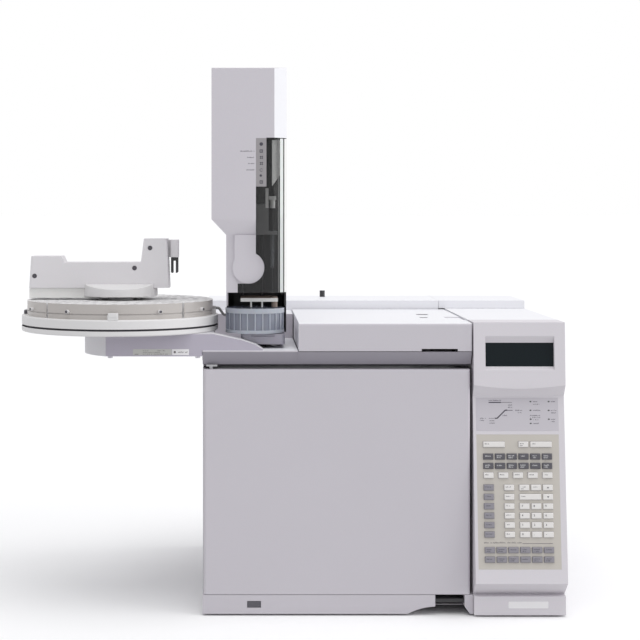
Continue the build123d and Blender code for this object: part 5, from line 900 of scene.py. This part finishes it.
def make_second_finishes():
    """Painted shade on the tower's insides and on faces that catch less light, painted light and reflection
    on others, dark faces on the left rear cover, white and brown small parts.
    """
    dark = LOOKS["dark_plastic"]
    housing = LOOKS["housing_grey"]
    # Painted shade: the inner faces of the tower's grey mouldings take dark plastic, for the shade inside the
    # closed tower.
    second_finish("tower_housing", dark, inside_tower)
    second_finish("tower_front_cover", dark, inside_tower)
    # Painted light: the front cover's chamfer faces above the door take the white of the top covers, as they
    # face the right-hand light.
    second_finish("tower_front_cover", LOOKS["cover_white"],
                  lambda x, y, z, n: n.x > 0.5 and n.y < -0.3 and z > 770.0)
    second_finish("tower_spine", WHITE_PART, lambda x, y, z, n: y < 62.0 and 498.0 < z < 516.0 and x < 112.0)
    second_finish("tower_spine", BUSH, lambda x, y, z, n: y < 70.0 and 498.0 < z < 520.0 and x > 112.0)
    second_finish("rear_cover_left", dark, lambda x, y, z, n: z > 493.0)
    # Painted highlight on the turret's outer rib faces.
    second_finish("turret", TURRET_RIB_HIGHLIGHT,
                  lambda x, y, z, n: math.hypot(x - TURRET_X, y - TURRET_Y) > RING_REACH)
    second_finish("indicator_strip", INDICATOR, lambda x, y, z, n: True)
    # Painted shadow of the tray on the bracket's front faces.
    second_finish("tray_bracket", BRACKET_SHADOW, lambda x, y, z, n: n.y < -0.98)
    # Painted reflection on the racks' outer walls.
    second_finish("tray_quadrants", RACK_WALL_REFLECTION,
                  lambda x, y, z, n: abs(n.z) < 0.3 and 154.0 < tray_radius(x, y) < 157.4)
    # Painted shade in the tray base's groove.
    second_finish("tray_base", GROOVE_SHADE,
                  lambda x, y, z, n: 466.6 < z < 470.2 and 155.0 < tray_radius(x, y) < 165.2)
    # Painted light: the hub's front faces at its left end take white, for the band there that catches more
    # light than the arm.
    second_finish("arm_hub", WHITE_PART, lambda x, y, z, n: n.y < -0.5 and x < -200.0)
    # Painted shade: the lid's and shelf cover's front faces take the darker housing grey, as they catch less
    # light than their tops.
    second_finish("detector_lid", housing, lambda x, y, z, n: n.y < -0.7)
    second_finish("inlet_shelf_cover", housing, lambda x, y, z, n: n.y < -0.7)
    second_finish("syringe_carriage", GUARD, lambda x, y, z, n: y < 110.0 and z > 600.0)
    second_finish("plunger_carriage", WHITE_PART, lambda x, y, z, n: x > 108.0 and 655.0 < z < 684.0)


make_second_finishes()
make_key_prints()
make_panel_prints()
make_display()
make_tower_prints()
make_door_highlights()
make_reflection_panel()
make_door_line()
make_inner_rail()
make_arm_details()
make_knob_caps()
make_bracket_plates()
make_tray_catches()
make_body_screws()
make_seal_rope()


# ================================================================ camera, light and floor
def make_camera():
    """A level view from in front, a little above the tray."""
    camera = bpy.data.objects.new("camera", bpy.data.cameras.new("camera"))
    camera.location = CAMERA_PLACE
    camera.rotation_euler = (math.pi / 2, 0, 0)
    camera.data.sensor_width = 36.0
    camera.data.lens = LENS
    camera.data.shift_x = SHIFT_X
    camera.data.shift_y = SHIFT_Y
    camera.data.clip_end = 1000.0
    bpy.context.scene.collection.objects.link(camera)
    bpy.context.scene.camera = camera


def make_lights():
    """Two broad soft lamps."""
    for level, across, direction in SUNS:
        sun = bpy.data.objects.new("sun", bpy.data.lights.new("sun", "SUN"))
        sun.data.energy = level
        sun.data.angle = math.radians(across)
        sun.rotation_mode = "QUATERNION"
        sun.rotation_quaternion = Vector(direction).to_track_quat("-Z", "Y")
        bpy.context.scene.collection.objects.link(sun)


def make_sky():
    """A dimmer sky for the light that scatters, and a white studio for what is seen directly or mirrored."""
    world = bpy.data.worlds.new("studio")
    bpy.context.scene.world = world
    world.use_nodes = True
    nodes = world.node_tree.nodes
    links = world.node_tree.links
    light = nodes["Background"]
    light.inputs["Color"].default_value = (0.97, 0.975, 1.0, 1.0)
    light.inputs["Strength"].default_value = SKY_LEVEL
    white = nodes.new("ShaderNodeBackground")
    white.inputs["Color"].default_value = (1.0, 1.0, 1.0, 1.0)
    path = nodes.new("ShaderNodeLightPath")
    sharp = nodes.new("ShaderNodeMath")
    sharp.operation = "MAXIMUM"
    links.new(path.outputs["Is Camera Ray"], sharp.inputs[0])
    links.new(path.outputs["Is Glossy Ray"], sharp.inputs[1])
    seen = nodes.new("ShaderNodeMath")
    seen.operation = "MAXIMUM"
    links.new(sharp.outputs["Value"], seen.inputs[0])
    links.new(path.outputs["Is Transmission Ray"], seen.inputs[1])
    mix = nodes.new("ShaderNodeMixShader")
    links.new(seen.outputs["Value"], mix.inputs["Fac"])
    links.new(light.outputs["Background"], mix.inputs[1])
    links.new(white.outputs["Background"], mix.inputs[2])
    links.new(mix.outputs["Shader"], nodes["World Output"].inputs["Surface"])


def floor_material():
    """Matt white that gives back less light to the object than it shows."""
    material = bpy.data.materials.new("floor")
    material.use_nodes = True
    nodes = material.node_tree.nodes
    links = material.node_tree.links
    shader = nodes["Principled BSDF"]
    shader.inputs["Base Color"].default_value = (0.97, 0.97, 0.97, 1.0)
    shader.inputs["Roughness"].default_value = 1.0
    shader.inputs["Specular IOR Level"].default_value = 0.0
    bounce = nodes.new("ShaderNodeBsdfDiffuse")
    bounce.inputs["Color"].default_value = (FLOOR_BOUNCE, FLOOR_BOUNCE, FLOOR_BOUNCE, 1.0)
    path = nodes.new("ShaderNodeLightPath")
    mix = nodes.new("ShaderNodeMixShader")
    links.new(path.outputs["Is Diffuse Ray"], mix.inputs["Fac"])
    links.new(shader.outputs["BSDF"], mix.inputs[1])
    links.new(bounce.outputs["BSDF"], mix.inputs[2])
    links.new(mix.outputs["Shader"], nodes["Material Output"].inputs["Surface"])
    return material


def make_floor():
    """The floor that takes the shadow."""
    mesh = bpy.data.meshes.new("floor")
    half = FLOOR_SIZE / 2
    corners = [(-half, -half, 0), (half, -half, 0), (half, half, 0), (-half, half, 0)]
    mesh.from_pydata(corners, [], [(0, 1, 2, 3)])
    mesh.materials.append(floor_material())
    floor = bpy.data.objects.new("floor", mesh)
    bpy.context.scene.collection.objects.link(floor)


make_camera()
make_lights()
make_sky()
make_floor()
bpy.context.scene.view_settings.view_transform = "Standard"
